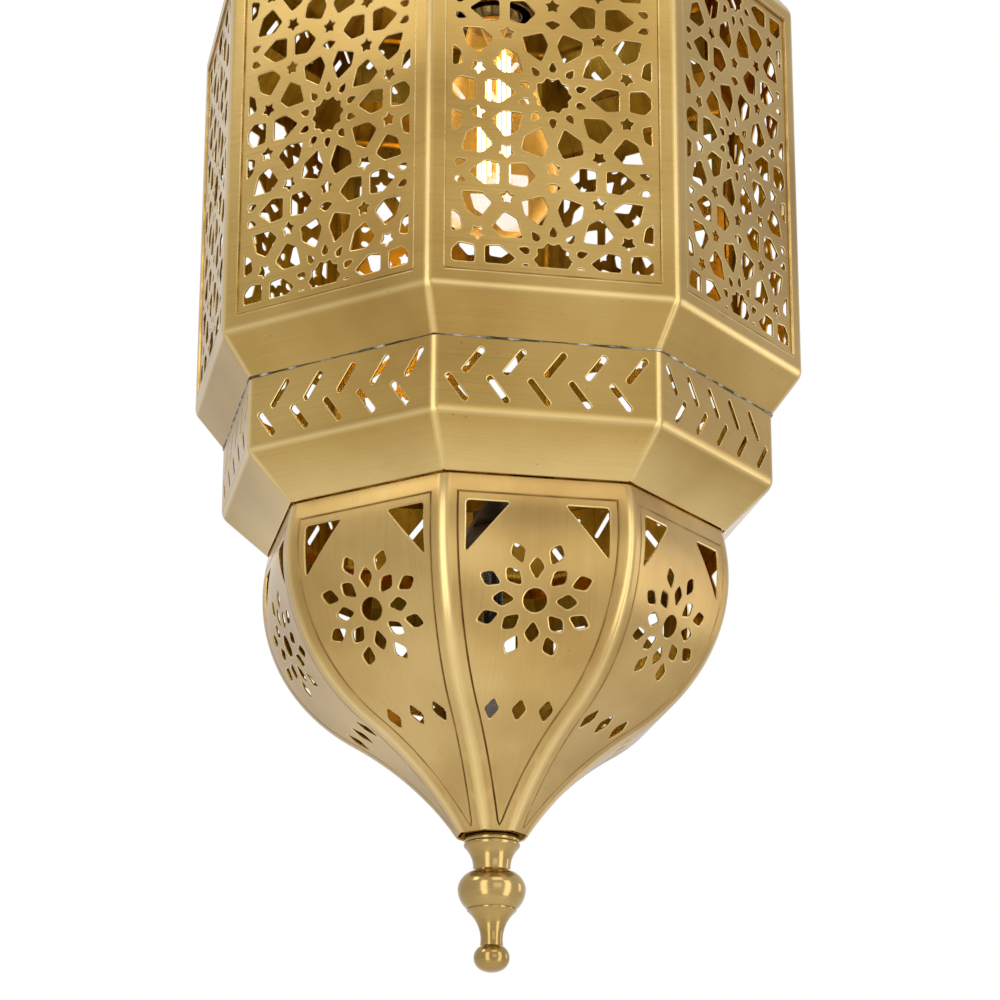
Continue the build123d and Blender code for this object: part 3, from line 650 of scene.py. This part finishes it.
def rosetteLoops(plan):
    points = plan["points"]
    step = 2 * math.pi / points
    tip, shoulder, end, width, endWidth = plan["petal"]
    petal = mirrored([(tip, 0), (shoulder, width / 2), (end, endWidth / 2)])
    near, far, width, wide, nearShare = plan["kite"]
    kite = mirrored([(far, 0), (near + wide * (far - near), width / 2), (near, nearShare * width)])
    place, width, height, wide = plan["dart"]
    dart = mirrored([(place - height / 2, 0), (place + wide * height, width / 2), (place + height / 2, 0)])
    near, middle, far, nearWidth, width = plan["shield"]
    shield = mirrored([(near, -nearWidth / 2), (middle, -width / 2), (far, 0)])
    starPlace, starOuter, starInner = plan["smallStar"]
    smallStar = starLoop(starOuter, starInner, points // 2, math.pi)
    loops = [starLoop(*plan["star"], points, 0)]
    for i in range(points):
        between = (i + 0.5) * step
        loops += [turnedLoop(petal, i * step), turnedLoop(kite, between)]
        if abs(between - math.pi / 2) < 1e-6:
            loops.append(turnedLoop(dart, between))
        else:
            loops.append(turnedLoop(smallStar, between, polar(starPlace, between)))
    return loops + [turnedLoop(shield, 0), turnedLoop(shield, math.pi)]


def fretLoops(plan, height):
    found = []
    low, high = plan["margin"], height - plan["margin"]
    for row in range(-1, int(2 * height / plan["pitch"]) + 2):
        for column in (-1, 0, 1):
            if (row + column) % 2:
                continue
            centre = Vector((column * plan["column"], plan["lift"] + row * plan["pitch"] / 2))
            for loop in rosetteLoops(plan):
                placed = windowed([point + centre for point in loop], plan["halfWidth"], low, high)
                if not placed or abs(signedArea(placed)) < plan["smallest"]:
                    continue
                middle = sum(placed, Vector((0, 0))) / len(placed)
                if all((middle - other).length > plan["apart"] for other, _ in found):
                    found.append((middle, placed))
    return [rounded(loop, plan["corner"]) for _, loop in found]


panelHalf = panelHigh.x / mm
panelStart, panelEnd = ((level - bodyBottom) / mm for level in (panelLow.z, panelHigh.z))
panelOuter = [Vector(place) for place in (
    (-panelHalf, panelStart), (panelHalf, panelStart), (panelHalf, panelEnd), (-panelHalf, panelEnd))]
panelSheet = piercedSheet(panelOuter, fretLoops(fretwork, bodyHeight), fretwork["sheet"], fretwork["bevel"])
for vert in panelSheet.verts:
    x, y, z = vert.co
    vert.co = (x * mm, panelLow.y - z * mm, bodyBottom + y * mm)
facedOutward(panelSheet)
for face in range(sides):
    addPiece(f"pierced_panel_{face + 1}", aroundAxis(panelSheet, face), sheetFinishes, "lantern",
             f"fretPanel{face + 1}", smooth=20)
panelSheet.free()
print("fretwork panels made")


# what repeats: each tree makes one part, with its sizes as named inputs

def newTree(name, sizes):
    # also gives the sockets of the sizes and short ways to add a node and to calculate
    tree = bpy.data.node_groups.new(name, "GeometryNodeTree")
    tree.interface.new_socket("Geometry", in_out="OUTPUT", socket_type="NodeSocketGeometry")
    for label, value in sizes.items():
        kind = "NodeSocketInt" if isinstance(value, int) else "NodeSocketFloat"
        tree.interface.new_socket(label, in_out="INPUT", socket_type=kind)
    return tree, addNode(tree, "NodeGroupInput").outputs, partial(addNode, tree), partial(calc, tree)


def endTree(tree, geometry, finish):
    realized = addNode(tree, "GeometryNodeRealizeInstances", geometry)
    painted = addNode(tree, "GeometryNodeSetMaterial", Geometry=realized, Material=finish)
    addNode(tree, "NodeGroupOutput", painted)


def grow(tree, sizes):
    holder = newObject(tree.name, bpy.data.meshes.new(tree.name))
    modifier = holder.modifiers.new("grow", "NODES")
    modifier.node_group = tree
    for item in tree.interface.items_tree:
        if item.in_out == "INPUT":
            modifier[item.identifier] = sizes[item.name]
    mesh = bpy.data.meshes.new_from_object(holder.evaluated_get(bpy.context.evaluated_depsgraph_get()))
    bpy.data.objects.remove(holder)
    return mesh


def vectorOf(tree, x=0.0, y=0.0, z=0.0):
    return addNode(tree, "ShaderNodeCombineXYZ", x, y, z).outputs[0]


# chevron slots of one face: two rows of rounded slots, each slot one face of the mesh
chevron = {
    "Slot Length": 14.7 * mm, "Slot Width": 2.8 * mm, "Rounding": 0.46, "Round Steps": 5,
    "Lean": math.radians(53), "Pitch": 18.7 * mm, "Shift": 3.75 * mm, "Row": 6.65 * mm, "Count": 5,
}
reversedFaces = (1, 2, 3, 4)
slotTree, slot, slotNode, slotMath = newTree("chevronSlots", chevron)
slotShape = slotNode("GeometryNodeCurvePrimitiveQuadrilateral",
                     Width=slot["Slot Length"], Height=slot["Slot Width"])
slotRound = slotNode("GeometryNodeFilletCurve", mode="POLY", Curve=slotShape, Count=slot["Round Steps"],
                     Radius=slotMath("MULTIPLY", slot["Slot Width"], slot["Rounding"]))
slotFill = slotNode("GeometryNodeFillCurve", slotRound, mode="NGONS")
slotRows = slotNode("GeometryNodeJoinGeometry")
middlePlace = slotMath("MULTIPLY", slotMath("SUBTRACT", slot["Count"], 1), -0.5)
firstPlace = slotMath("MULTIPLY", middlePlace, slot["Pitch"])
for hand in hands:
    shift, row, lean = (slotMath("MULTIPLY", slot[label], hand) for label in ("Shift", "Row", "Lean"))
    places = slotNode("GeometryNodeMeshLine", Count=slot["Count"], Offset=vectorOf(slotTree, slot["Pitch"]),
                      Start_Location=vectorOf(slotTree, slotMath("ADD", firstPlace, shift), row))
    cuts = slotNode("GeometryNodeInstanceOnPoints", Points=places, Instance=slotFill,
                    Rotation=vectorOf(slotTree, z=lean))
    plug(slotTree, slotRows.inputs[0], cuts)
endTree(slotTree, slotRows, cutBrass)
slotMesh = grow(slotTree, chevron)
slotLoops = [[slotMesh.vertices[i].co.xy / mm for i in face.vertices] for face in slotMesh.polygons]
print("chevron slots drawn:", len(slotLoops))

# skirts, bands and coves: levels are in millimetres from the body's lower edge
ringSheet = {
    # the fold's wear width also spreads a painted highlight along each fold
    "sheet": 0.9, "bevel": 0.5, "fold": 8.0, "foldWearAndSheen": 2.2, "softEnd": 0.4, "softSide": 0.12,
    "setback": 2.6, "insets": (0.35, 0.8, 1.35, 1.95, 2.6),  # rounding of the corners between the sides
    "lineDrop": 0.75, "lineHalf": 0.4, "grooveDepth": 0.3, "strip": 0.6,  # scored line under each window, and the width of the painted highlight strips
}
softSteps = (0.04, 0.12, 0.6)
bandLow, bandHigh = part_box("lower_band")
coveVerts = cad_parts["lower_cove"].data.vertices
coveFoot = min(vert.co.z for vert in coveVerts)
coveEndApothem = max(vert.co.y for vert in coveVerts if vert.co.z < coveFoot + 1e-5) / mm
waistApothem = bandHigh.y / mm
skirtEnd, bandEnd, coveEnd = ((level - bodyBottom) / mm for level in (skirtLow.z, bandLow.z, coveFoot))
skirtRun, skirtLength, skirtRows, skirtMiddles = foldedRun(
    [(bodyApothem, railHeight), (bodyApothem, 0), (waistApothem, skirtEnd)], ringSheet["fold"])
bandRun, bandLength, bandRows, bandMiddles = foldedRun(
    [(waistApothem, skirtEnd), (waistApothem, bandEnd), (coveEndApothem, coveEnd)], ringSheet["fold"])
bandMiddle = bandMiddles[0]
slotMiddle = (skirtEnd - bandEnd) / 2
chevronLoops = [[Vector((p.x, slotMiddle - p.y)) for p in loop] for loop in slotLoops]
backwardLoops = [[Vector((-p.x, p.y)) for p in loop] for loop in chevronLoops]
coveRows = [*bandRows, *(bandLength - step for step in softSteps)]
lineStart, lineEnd = (ringSheet["lineDrop"] + side * ringSheet["lineHalf"] for side in (-1, 1))
lineHighlightStrip = (lineEnd, lineEnd + ringSheet["strip"])
windowLine = []
for drop in (lineStart, ringSheet["lineDrop"], *lineHighlightStrip):
    isSunk = drop == ringSheet["lineDrop"]
    side = windowHalf - (ringSheet["lineHalf"] if isSunk else 0)
    windowLine.append(([Vector((-side, drop)), Vector((side, drop))], isSunk))
for hand in hands:  # short uprights close the line at its ends
    windowLine.append(([Vector((hand * windowHalf, drop)) for drop in (lineStart, lineEnd)], False))
for level, upward, names in (
    (bodyBottom, False, ("lower_skirt", "lower_band", "lower_cove")),
    (bodyTop, True, ("upper_skirt", "upper_band", "crown_cove")),
):
    skirtFace = sheetFace(skirtRun, 0, skirtLength, skirtRows, (), ringSheet, windowLine)
    # painted highlights: a strip under the window line and one along the cove's lower edge
    paintedHighlightStrip(skirtFace, (-1, windowHalf), lineHighlightStrip)
    bent(skirtFace, skirtRun, ringSheet, level, upward, folds=skirtMiddles)
    coveFace = sheetFace(bandRun, bandMiddle, bandLength, coveRows, (), ringSheet)
    paintedHighlightStrip(coveFace, (-1, bodyApothem), (bandLength - ringSheet["strip"], bandLength))
    coveSoft = ((bandLength, ringSheet["softEnd"]),)
    bent(coveFace, bandRun, ringSheet, level, upward, coveSoft, folds=(bandMiddle, bandLength))
    bandFaces = []
    for loops in (chevronLoops, backwardLoops):
        bandFace = sheetFace(bandRun, 0, bandMiddle, bandRows, loops, ringSheet)
        bent(bandFace, bandRun, ringSheet, level, upward, folds=bandMiddles)
        bandFaces.append(bandFace)
    bandSides = [bandFaces[face in reversedFaces] for face in range(sides)]
    for node, parts in zip(names, ([skirtFace] * sides, bandSides, [coveFace] * sides)):
        ring = joined([aroundAxis(part, face) for face, part in enumerate(parts)])
        addPiece(node, ring, sheetFinishes, "lantern", smooth=40, weighted=True)
    for part in (skirtFace, coveFace, *bandFaces):
        part.free()
print("skirts, bands and coves made")

# corner posts: a strip of sheet on each side of a fold, rounded along the window
postHeight = (postHigh.z - postLow.z) / mm
postRun, postLength, _, _ = foldedRun([(bodyApothem, 0), (bodyApothem, -postHeight)], ringSheet["fold"])
postPlaces = [windowHalf + step for step in softSteps] + [postHalf - inset for inset in ringSheet["insets"]]
postStrips = []
for hand in hands:
    lines = [([Vector((hand * place, end)) for end in (0, postLength)], False) for place in postPlaces]
    ends = [hand * place for place in sorted([windowHalf, *postPlaces, postHalf])]
    outline = [Vector((end, 0)) for end in ends] + [Vector((end, postLength)) for end in ends[::-1]]
    postStrip = piercedSheet(outline, (), ringSheet["sheet"], ringSheet["bevel"], lines)
    # painted highlight strip beside the window
    paintedHighlightStrip(postStrip, (windowHalf, windowHalf + ringSheet["strip"]), (0, postLength))
    bent(postStrip, postRun, ringSheet, postHigh.z, softSide=(windowHalf, ringSheet["softSide"]))
    postStrips.append(postStrip)
postRing = joined([aroundAxis(strip, face) for strip in postStrips for face in range(sides)])
addPiece("corner_posts", postRing, sheetFinishes, "lantern", smooth=40, weighted=True)
for strip in postStrips:
    strip.free()

# dome rim and plates: the solids' shapes with rounded edges; the dome's plate stays inside the rolled ridges,
# darkened as painted shade
plates = {
    "dome_rim": (0.2, 1.0, innerShadedBrass, "dome"), "dome_plate": (0.2, 0.96, plateShadeBrass, "dome"),
    "crown_plate": (0.4, 1.0, sheetBrass, "lantern"),
}
for node, (bevel, across, finish, body) in plates.items():
    shape = softened(node, bevel * mm)
    bmesh.ops.scale(shape, vec=(across, across, 1), verts=shape.verts)
    addPiece(node, shape, (finish, finish), body, smooth=40, weighted=True)
print("posts, rim and plates made")

# ogee gores of the dome and the crown: flat pierced sheets bent to the ogee
ogee = {
    "bulge": 104.8, "drop": 20.6, "shoulder": 88.7, "turn": math.radians(57.9), "neck": 155.5,
    "sheet": 0.9, "bevel": 0.65, "row": 4.0, "setback": 3.4, "insets": (0.4, 0.9, 1.5, 2.1, 2.7, 3.4),
    "footShade": (104.0, 150.0, 0.9),  # where the brown painted shade of the foot starts and is full, and how much
    "groove": 6.7, "grooveTop": 9.0, "grooveHalf": 0.5, "grooveDepth": 0.45, "grooveStain": 0.45,
    "grooveLines": (-1, 0, 1, 3.0),  # edges and bottom of the groove, and where its stain ends
    "grooveNarrow": (0.3, 0.6),  # half widths where lines turn to the point: the least, and the bottom's
    "grooveTail": (2.5, 0.7, 1.5),  # way to the point, less for inner lines, and its least way to the foot
    "softEnd": 0.12, "corner": 1.9, "cornerSteps": 4, "petals": 8, "hole": (5.4, 32),
    "triangle": (32.7, 13.1, 20.0, 23.9), "rosette": 57.0, "rings": ((14.5, 0.0), (22.6, 0.5)),
    "lozenge": (10.6, 7.3, 0.06), "footRow": (112.5, 12.5, 13.7, 6.9),  # lozenge: widest past its middle
}
bulgeCentre = Vector((ogee["bulge"] - ogee["shoulder"], -ogee["drop"]))
rimAngle = math.asin(ogee["drop"] / ogee["shoulder"])
shoulderLength = ogee["shoulder"] * (rimAngle + ogee["turn"])
neckCentre = bulgeCentre + polar(1, -ogee["turn"]) * (ogee["shoulder"] + ogee["neck"])


def ogeeRun(along):
    if along <= shoulderLength:
        normal = polar(1, rimAngle - along / ogee["shoulder"])
        return bulgeCentre + normal * ogee["shoulder"], normal
    normal = polar(1, (along - shoulderLength) / ogee["neck"] - ogee["turn"])
    return neckCentre - normal * ogee["neck"], normal


def alongTo(endDrop):
    low, high = 0.0, shoulderLength + ogee["neck"]
    for _ in range(50):
        middle = (low + high) / 2
        if ogeeRun(middle)[0].y > -endDrop:
            low = middle
        else:
            high = middle
    return low


def goreHoles(plan):
    loops = []
    outer, top, width, height = plan["triangle"]
    for hand in hands:
        corners = ((outer, top), (outer - width, top), (outer, top + height))
        loops.append([Vector((hand * x, y)) for x, y in corners])
    centre = Vector((0, plan["rosette"]))
    length, breadth, wide = plan["lozenge"]
    lozenge = mirrored([(length / 2, 0), (wide * length, breadth / 2), (-length / 2, 0)])
    for radius, offset in plan["rings"]:
        for i in range(plan["petals"]):
            angle = (i + offset) * 2 * math.pi / plan["petals"]
            loops.append(turnedLoop(lozenge, angle, centre + radius * polar(1, angle)))
    drop, pitch, footLength, footWidth = plan["footRow"]
    foot = mirrored([(footLength / 2, 0), (0, footWidth / 2), (-footLength / 2, 0)])
    loops += [turnedLoop(foot, math.pi / 2, (place * pitch, drop)) for place in (-1, 0, 1)]
    loops = [rounded(loop, plan["corner"], plan["cornerSteps"]) for loop in loops]
    hole, steps = plan["hole"]
    loops.append([centre + hole * polar(1, i * math.pi / (steps / 2)) for i in range(steps)])
    return loops


def goreGrooves(plan, end, rows):
    # border groove inside the ridges: across the top, down both sides to a point
    narrow, wide = plan["grooveNarrow"]
    tailWay, tailLess, footGap = plan["grooveTail"]
    lines = []
    for shift in plan["grooveLines"]:
        inset = plan["groove"] + shift * plan["grooveHalf"]
        top = plan["grooveTop"] + shift * plan["grooveHalf"]

        def away(tick):
            return ogeeRun(tick)[0].x * mitre - inset

        least = max(narrow, wide - narrow * shift)
        steps = [top] + [row for row in rows if row > top + 1 and away(row) > least]
        side = [Vector((away(step), step)) for step in steps]
        tail = Vector((0, min(end - footGap, side[-1].y + tailWay - tailLess * shift)))
        loop = side + [tail] + [Vector((-p.x, p.y)) for p in side[::-1]]
        lines.append((loop + loop[:1], shift == 0))
    return lines


for body, kind, upward in (("dome", "dome_gore", False), ("lantern", "crown_gore", True)):
    low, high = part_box(f"{kind}_1")
    goreEnd = alongTo((high.z - low.z) / mm)
    goreRows = [ogee["row"] * i for i in range(1, int(goreEnd / ogee["row"]))]
    grooves = goreGrooves(ogee, goreEnd, goreRows)
    gore = sheetFace(ogeeRun, 0, goreEnd, [*softSteps, *goreRows], goreHoles(ogee), ogee, grooves)
    bent(gore, ogeeRun, ogee, low.z if upward else high.z, upward, ((0, ogee["softEnd"]),))
    for face in range(sides):
        side = aroundAxis(gore, face)
        addPiece(f"{kind}_{face + 1}", side, goreFinishes, body, smooth=20)
    gore.free()
print("gores made")

# threaded rods: a helical ridge on a rod, closed at both ends
thread = {
    "Pitch": 1.0 * mm, "Depth": 0.55 * mm, "Columns": 28,
    "Radius": 0.0, "Length": 0.0, "Base": 0.0, "Rows": 0,  # each rod has its own
}
rowsPerTurn = 4
threadTree, rod, rodNode, rodMath = newTree("threadedRod", thread)
rodGrid = rodNode("GeometryNodeMeshGrid", Vertices_X=rod["Columns"], Vertices_Y=rod["Rows"])
rodPlace = rodNode("ShaderNodeSeparateXYZ", rodNode("GeometryNodeInputPosition")).outputs
around, lift = (rodMath("ADD", rodPlace[axis], 0.5) for axis in "XY")
height = rodMath("MULTIPLY", lift, rod["Length"])
phase = rodMath("FRACT", rodMath("ADD", rodMath("DIVIDE", height, rod["Pitch"]), around))
ridge = rodMath("ABSOLUTE", rodMath("SUBTRACT", rodMath("MULTIPLY", phase, 2), 1))
threadRadius = rodMath("SUBTRACT", rod["Radius"], rodMath("MULTIPLY", ridge, rod["Depth"]))
isSide = rodMath("MULTIPLY", rodMath("GREATER_THAN", lift, 1e-5), rodMath("LESS_THAN", lift, 1 - 1e-5))
threadRadius = rodMath("MULTIPLY", threadRadius, isSide)  # the first and last rows close the ends
angle = rodMath("MULTIPLY", around, 2 * math.pi)
rodX, rodY = (rodMath("MULTIPLY", threadRadius, rodMath(turn, angle)) for turn in ("COSINE", "SINE"))
rodShape = rodNode("GeometryNodeSetPosition", Geometry=rodGrid,
                   Position=vectorOf(threadTree, rodX, rodY, rodMath("ADD", height, rod["Base"])))
rodSeam = rodNode("GeometryNodeMergeByDistance", Geometry=rodShape, Distance=1e-6)
endTree(threadTree, rodSeam, rodSteel)

rods = {
    "lamp_rod": ("lantern", rodSteel, "black_steel"), "finial_stud": ("finial", rodSteel, "black_steel"),
    "stem_pipe": ("lantern", turnedBrass, "lamp_brass"),
}
for node, (body, finish, slotName) in rods.items():
    low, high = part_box(node)
    length = high.z - low.z
    rows = int(length / thread["Pitch"] * rowsPerTurn)
    rodMesh = grow(threadTree, {**thread, "Radius": high.x, "Length": length, "Base": low.z, "Rows": rows})
    rodBody = bmesh.new()
    rodBody.from_mesh(rodMesh)
    bmesh.ops.recalc_face_normals(rodBody, faces=rodBody.faces)
    addPiece(node, rodBody, (finish,), body)
print("threaded rods made")

# filaments: upright strips on a circle
low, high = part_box("bulb_filaments")
filament = {
    "Count": 6, "Circle": 7.5 * mm, "Radius": 0.9 * mm, "Edges": 12,
    "Length": high.z - low.z, "Middle": (low.z + high.z) / 2,
}
filamentTree, strand, strandNode, _ = newTree("filaments", filament)
strandPlaces = strandNode("GeometryNodeMeshCircle", Vertices=strand["Count"], Radius=strand["Circle"])
strandShape = strandNode("GeometryNodeMeshCylinder", Vertices=strand["Edges"],
                         Radius=strand["Radius"], Depth=strand["Length"])
strands = strandNode("GeometryNodeInstanceOnPoints", Points=strandPlaces, Instance=strandShape)
strandLift = strandNode("GeometryNodeTransform", Geometry=strands,
                        Translation=vectorOf(filamentTree, z=strand["Middle"]))
endTree(filamentTree, strandLift, filamentGlow)
addPiece("bulb_filaments", grow(filamentTree, filament), (filamentGlow,), "bulb", smooth=40)

# solder along the seams above and below the body: a bead that swells, thins out and wanders
solder = {
    "Ring": waistApothem * mm / math.cos(faceTurn / 2) - 0.1 * mm, "Level": 0.0,  # each seam's own level
    "Bead": 0.65 * mm, "Edges": 7, "Step": 1.3 * mm, "Thinnest": 0.5, "Thickest": 1.35,
    "Swell Scale": 55.0, "Swell Low": 0.36, "Swell High": 0.72, "Wander": 0.6 * mm, "Wander Scale": 230.0,
}
solderTree, bead, seamNode, _ = newTree("solderSeam", solder)
seamRing = seamNode("GeometryNodeCurvePrimitiveCircle", Resolution=sides, Radius=bead["Ring"])
seamPlace = seamNode("GeometryNodeTransform", Geometry=seamRing,
                     Translation=vectorOf(solderTree, z=bead["Level"]), Rotation=(0, 0, faceTurn / 2))
seamSteps = seamNode("GeometryNodeResampleCurve", mode="LENGTH", Curve=seamPlace, Length=bead["Step"])
swell = seamNode("ShaderNodeTexNoise", Scale=bead["Swell Scale"], Detail=4.0)
swellRange = seamNode("ShaderNodeMapRange", Value=swell, From_Min=bead["Swell Low"],
                      From_Max=bead["Swell High"], To_Min=bead["Thinnest"], To_Max=bead["Thickest"])
beadShape = seamNode("GeometryNodeCurvePrimitiveCircle", Resolution=bead["Edges"], Radius=bead["Bead"])
beadRun = seamNode("GeometryNodeCurveToMesh", Curve=seamSteps, Profile_Curve=beadShape, Scale=swellRange)
beadNoise = seamNode("ShaderNodeTexNoise", Scale=bead["Wander Scale"], Detail=3.0).outputs["Color"]
beadShift = seamNode("ShaderNodeVectorMath", beadNoise, (0.5, 0.5, 0.5), operation="SUBTRACT")
beadWander = seamNode("ShaderNodeVectorMath", beadShift, operation="SCALE", Scale=bead["Wander"])
beadMoved = seamNode("GeometryNodeSetPosition", Geometry=beadRun, Offset=beadWander)
endTree(solderTree, beadMoved, greySolder)
seams = {"solderSeamLow": bodyBottom + skirtEnd * mm, "solderSeamHigh": bodyTop - skirtEnd * mm}
for name, level in seams.items():
    seamMesh = grow(solderTree, {**solder, "Level": level})
    addPiece(None, seamMesh, (greySolder,), "lantern", name, smooth=60)
print("filaments and solder made")

# turned finial: radii and drops from its top face
finialShape = {
    "disc": (12.8, 2.4), "collar": (13.1, 4.6), "neck": ((9.75, 9.0), (8.8, 15.4)),
    "ball": ((13.3, 18.2), (15.8, 23.9), (14.6, 29.3)),
    "groove": (11.5, 33.4, 0.8, 0.6, 0.1), "bell": (7.2, 39.4), "waist": (5.4, 50.6), "knob": (8.2, 57.0),
    "tip": (11.0, 5.0, 8), "length": 62.6, "spokes": 96, "steps": (10, 18, 20, 22),
    "edge": (0.3, 0.3, 0.6),  # of the disc, and its shares for the rounding above and below
}
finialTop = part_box("finial")[1].z


def finialProfile(plan):
    edge, above, below = plan["edge"]
    disc, discDrop = plan["disc"]
    collar, collarDrop = plan["collar"]
    collarMiddle = (collar, (discDrop + collarDrop) / 2)
    neckMiddle, neckLow = plan["neck"]
    ballHigh, ballWide, ballLow = plan["ball"]
    collarSteps, neckSteps, ballSteps, bellSteps = plan["steps"]
    groove, grooveDrop, grooveWidth, grooveDepth, grooveSlope = plan["groove"]
    grooveEnd = grooveDrop + grooveWidth
    grooveBottom = groove - grooveDepth
    tip, tipHalf, tipSteps = plan["tip"]
    tipCentre = plan["length"] - tip
    tipAngle = math.acos(tipHalf / tip)
    tipEdge = (tipHalf, tipCentre + tip * math.sin(tipAngle))
    profile = [(0, 0), (disc - edge, 0), (disc - above * edge, above * edge), (disc, edge)]
    profile += [(disc, discDrop - edge), (disc - below * edge, discDrop)]
    profile += arcThrough(profile[-1], collarMiddle, (disc, collarDrop), collarSteps)[1:]
    profile += arcThrough((disc, collarDrop), neckMiddle, neckLow, neckSteps)[1:]
    profile += arcThrough(neckLow, ballHigh, ballWide, ballSteps)[1:]
    profile += arcThrough(ballWide, ballLow, (groove, grooveDrop), ballSteps)[1:]
    profile += [(grooveBottom, grooveDrop + grooveSlope), (grooveBottom, grooveEnd - grooveSlope)]
    profile += arcThrough((groove, grooveEnd), plan["bell"], plan["waist"], bellSteps)
    profile += arcThrough(plan["waist"], plan["knob"], tipEdge, bellSteps)[1:]
    for i in range(1, tipSteps):
        angle = tipAngle + (math.pi / 2 - tipAngle) * i / tipSteps
        profile.append((tip * math.cos(angle), tipCentre + tip * math.sin(angle)))
    return profile + [(0, plan["length"])]


finialRings = [(radius * mm, finialTop - drop * mm) for radius, drop in finialProfile(finialShape)]
finialBody = lathe(finialRings, finialShape["spokes"])
addPiece("finial", finialBody, (turnedBrass,), "finial", "turnedFinial", smooth=28)
print("finial made")

# the rest keeps the solids' shapes and its own finish, the hardware also with softened edges
hardware = {
    # the rod nuts are zinc steel but take the dark bridge finish, painted shade that lets them sink into the
    # dark inside
    "coupling_nut": (0.7, zincSteel, "zinc_steel"), "rod_nuts": (0.5, bridgeSteel, "zinc_steel"),
    "stem_nuts": (0.5, zincSteel, "zinc_steel"), "lower_bridge": (0.4, bridgeSteel, "black_steel"),
    "upper_bridge": (0.4, bridgeSteel, "black_steel"),
}
for node, (bevel, finish, slotName) in hardware.items():
    shape = softened(node, bevel * mm)
    addPiece(node, shape, (finish, finish), "lantern", smooth=40, weighted=True)

turned = (turnedBrass, "turned_brass", "lantern")
fitting = (turnedBrass, "lamp_brass", "lantern")
moulded = (blackMoulding, "black_moulding", "lantern")
blown = (clearGlass, "bulb_glass", "bulb")
roundNodes = {
    "crown_collar": turned, "hanging_loop": turned, "hanging_ring": (turnedBrass, "turned_brass", "ring"),
    "cord_bush": moulded, "lampholder_cap": fitting, "lampholder_shell": fitting,
    "lampholder_insulator": moulded, "lampholder_screw_shell": fitting, "lampholder_contact": fitting,
    "bulb_cap": (turnedBrass, "lamp_brass", "bulb"), "bulb_glass": blown, "bulb_stem": blown,
}
for node, (finish, slotName, body) in roundNodes.items():
    addPiece(node, nodeCopy(node), (finish,), body, smooth=35)

# camera at the photograph's angle
view = {
    "focal": 116.365, "sensor": 36.0, "roll": 0.0042, "shift": 0.0197,
    "place": (-0.2857, -1.4430, -1.0192), "forward": (0.1806, 0.9322, 0.3134),
}
forward = Vector(view["forward"]).normalized()
right = forward.cross(Vector((0, 0, 1))).normalized()
up = right.cross(forward)
cosRoll, sinRoll = math.cos(view["roll"]), math.sin(view["roll"])
right, up = right * cosRoll + up * sinRoll, up * cosRoll - right * sinRoll
cameraData = bpy.data.cameras.new("camera")
cameraData.lens = view["focal"]
cameraData.sensor_width = view["sensor"]
cameraData.shift_x = view["shift"]
camera = newObject("camera", cameraData)
axes = Matrix((right, up, -forward)).transposed().to_4x4()
camera.matrix_world = Matrix.Translation(view["place"]) @ axes
bpy.context.scene.camera = camera

# pale floor well below, white surroundings that the metal shows too
studio = {
    "floorDrop": 1.3, "floorSize": 12.0, "floorColour": (0.8, 0.79, 0.77), "floorRoughness": 0.8,
    "floorGlow": 0.7, "fill": 0.5,
}


def seenDirectly(tree):
    # one for rays from the camera, a mirror surface or glass
    paths = addNode(tree, "ShaderNodeLightPath").outputs
    seen = calc(tree, "MAXIMUM", paths["Is Camera Ray"], paths["Is Glossy Ray"])
    return calc(tree, "MAXIMUM", seen, paths["Is Transmission Ray"])


floorMesh = bpy.data.meshes.new("floor")
reachOut = studio["floorSize"] / 2
floorLevel = cadBounds[0][2] - studio["floorDrop"]
floorCorners = [(x * reachOut, y * reachOut, floorLevel) for x, y in ((-1, -1), (1, -1), (1, 1), (-1, 1))]
floorMesh.from_pydata(floorCorners, [], [(0, 1, 2, 3)])
floor = newObject("floor", floorMesh)
floorFinish, floorTree, floorShader = newFinish("paleFloor")
floorGlow = calc(floorTree, "MULTIPLY", seenDirectly(floorTree), studio["floorGlow"])
feed(floorTree, floorShader, Base_Color=(*studio["floorColour"], 1), Roughness=studio["floorRoughness"],
     Emission_Color=(1, 1, 1, 1), Emission_Strength=floorGlow)
floorMesh.materials.append(floorFinish)

world = bpy.data.worlds.new("studio")
bpy.context.scene.world = world
world.use_nodes = True
sky = world.node_tree
skyLevel = calc(sky, "ADD", calc(sky, "MULTIPLY", seenDirectly(sky), 1 - studio["fill"]), studio["fill"])
feed(sky, sky.nodes["Background"], Color=(1, 1, 1, 1), Strength=skyLevel)

# soft lamps: place, aim, power, width and height
lamps = {
    "lowFrontLamp": ((0.3, -2.0, -0.65), (0, 0, -0.6), 2.3, 1.0, 0.9),
    "highFrontLamp": ((0.3, -1.6, 0.75), (0, 0, -0.55), 4, 1.2, 0.6),
    "leftFrontStrip": ((-0.985, -1.26, -0.8), (0, 0, -0.8), 9.5, 0.62, 2.2),
    "rightFrontStrip": ((1.13, -1.13, -0.8), (0, 0, -0.8), 9.5, 0.62, 2.2),
    "leftHighLamp": ((-1.7, -0.4, 0.9), (0, 0, -0.6), 5, 0.6, 0.6),
    "rightLamp": ((1.9, 0.25, -0.45), (0, 0, -0.6), 1.8, 0.3, 0.8),
    "backLamp": ((0.4, 2.2, 0.6), (0, 0, -0.4), 5, 1.4, 1.4),
}
for name, (place, aim, power, width, height) in lamps.items():
    lampData = bpy.data.lights.new(name, "AREA")
    lampData.energy = power
    lampData.shape = "RECTANGLE"
    lampData.size, lampData.size_y = width, height
    facing = (Vector(aim) - Vector(place)).to_track_quat("-Z", "Y").to_matrix().to_4x4()
    newObject(name, lampData).matrix_world = Matrix.Translation(place) @ facing
bpy.context.scene.view_settings.view_transform = "Standard"
print("studio ready")
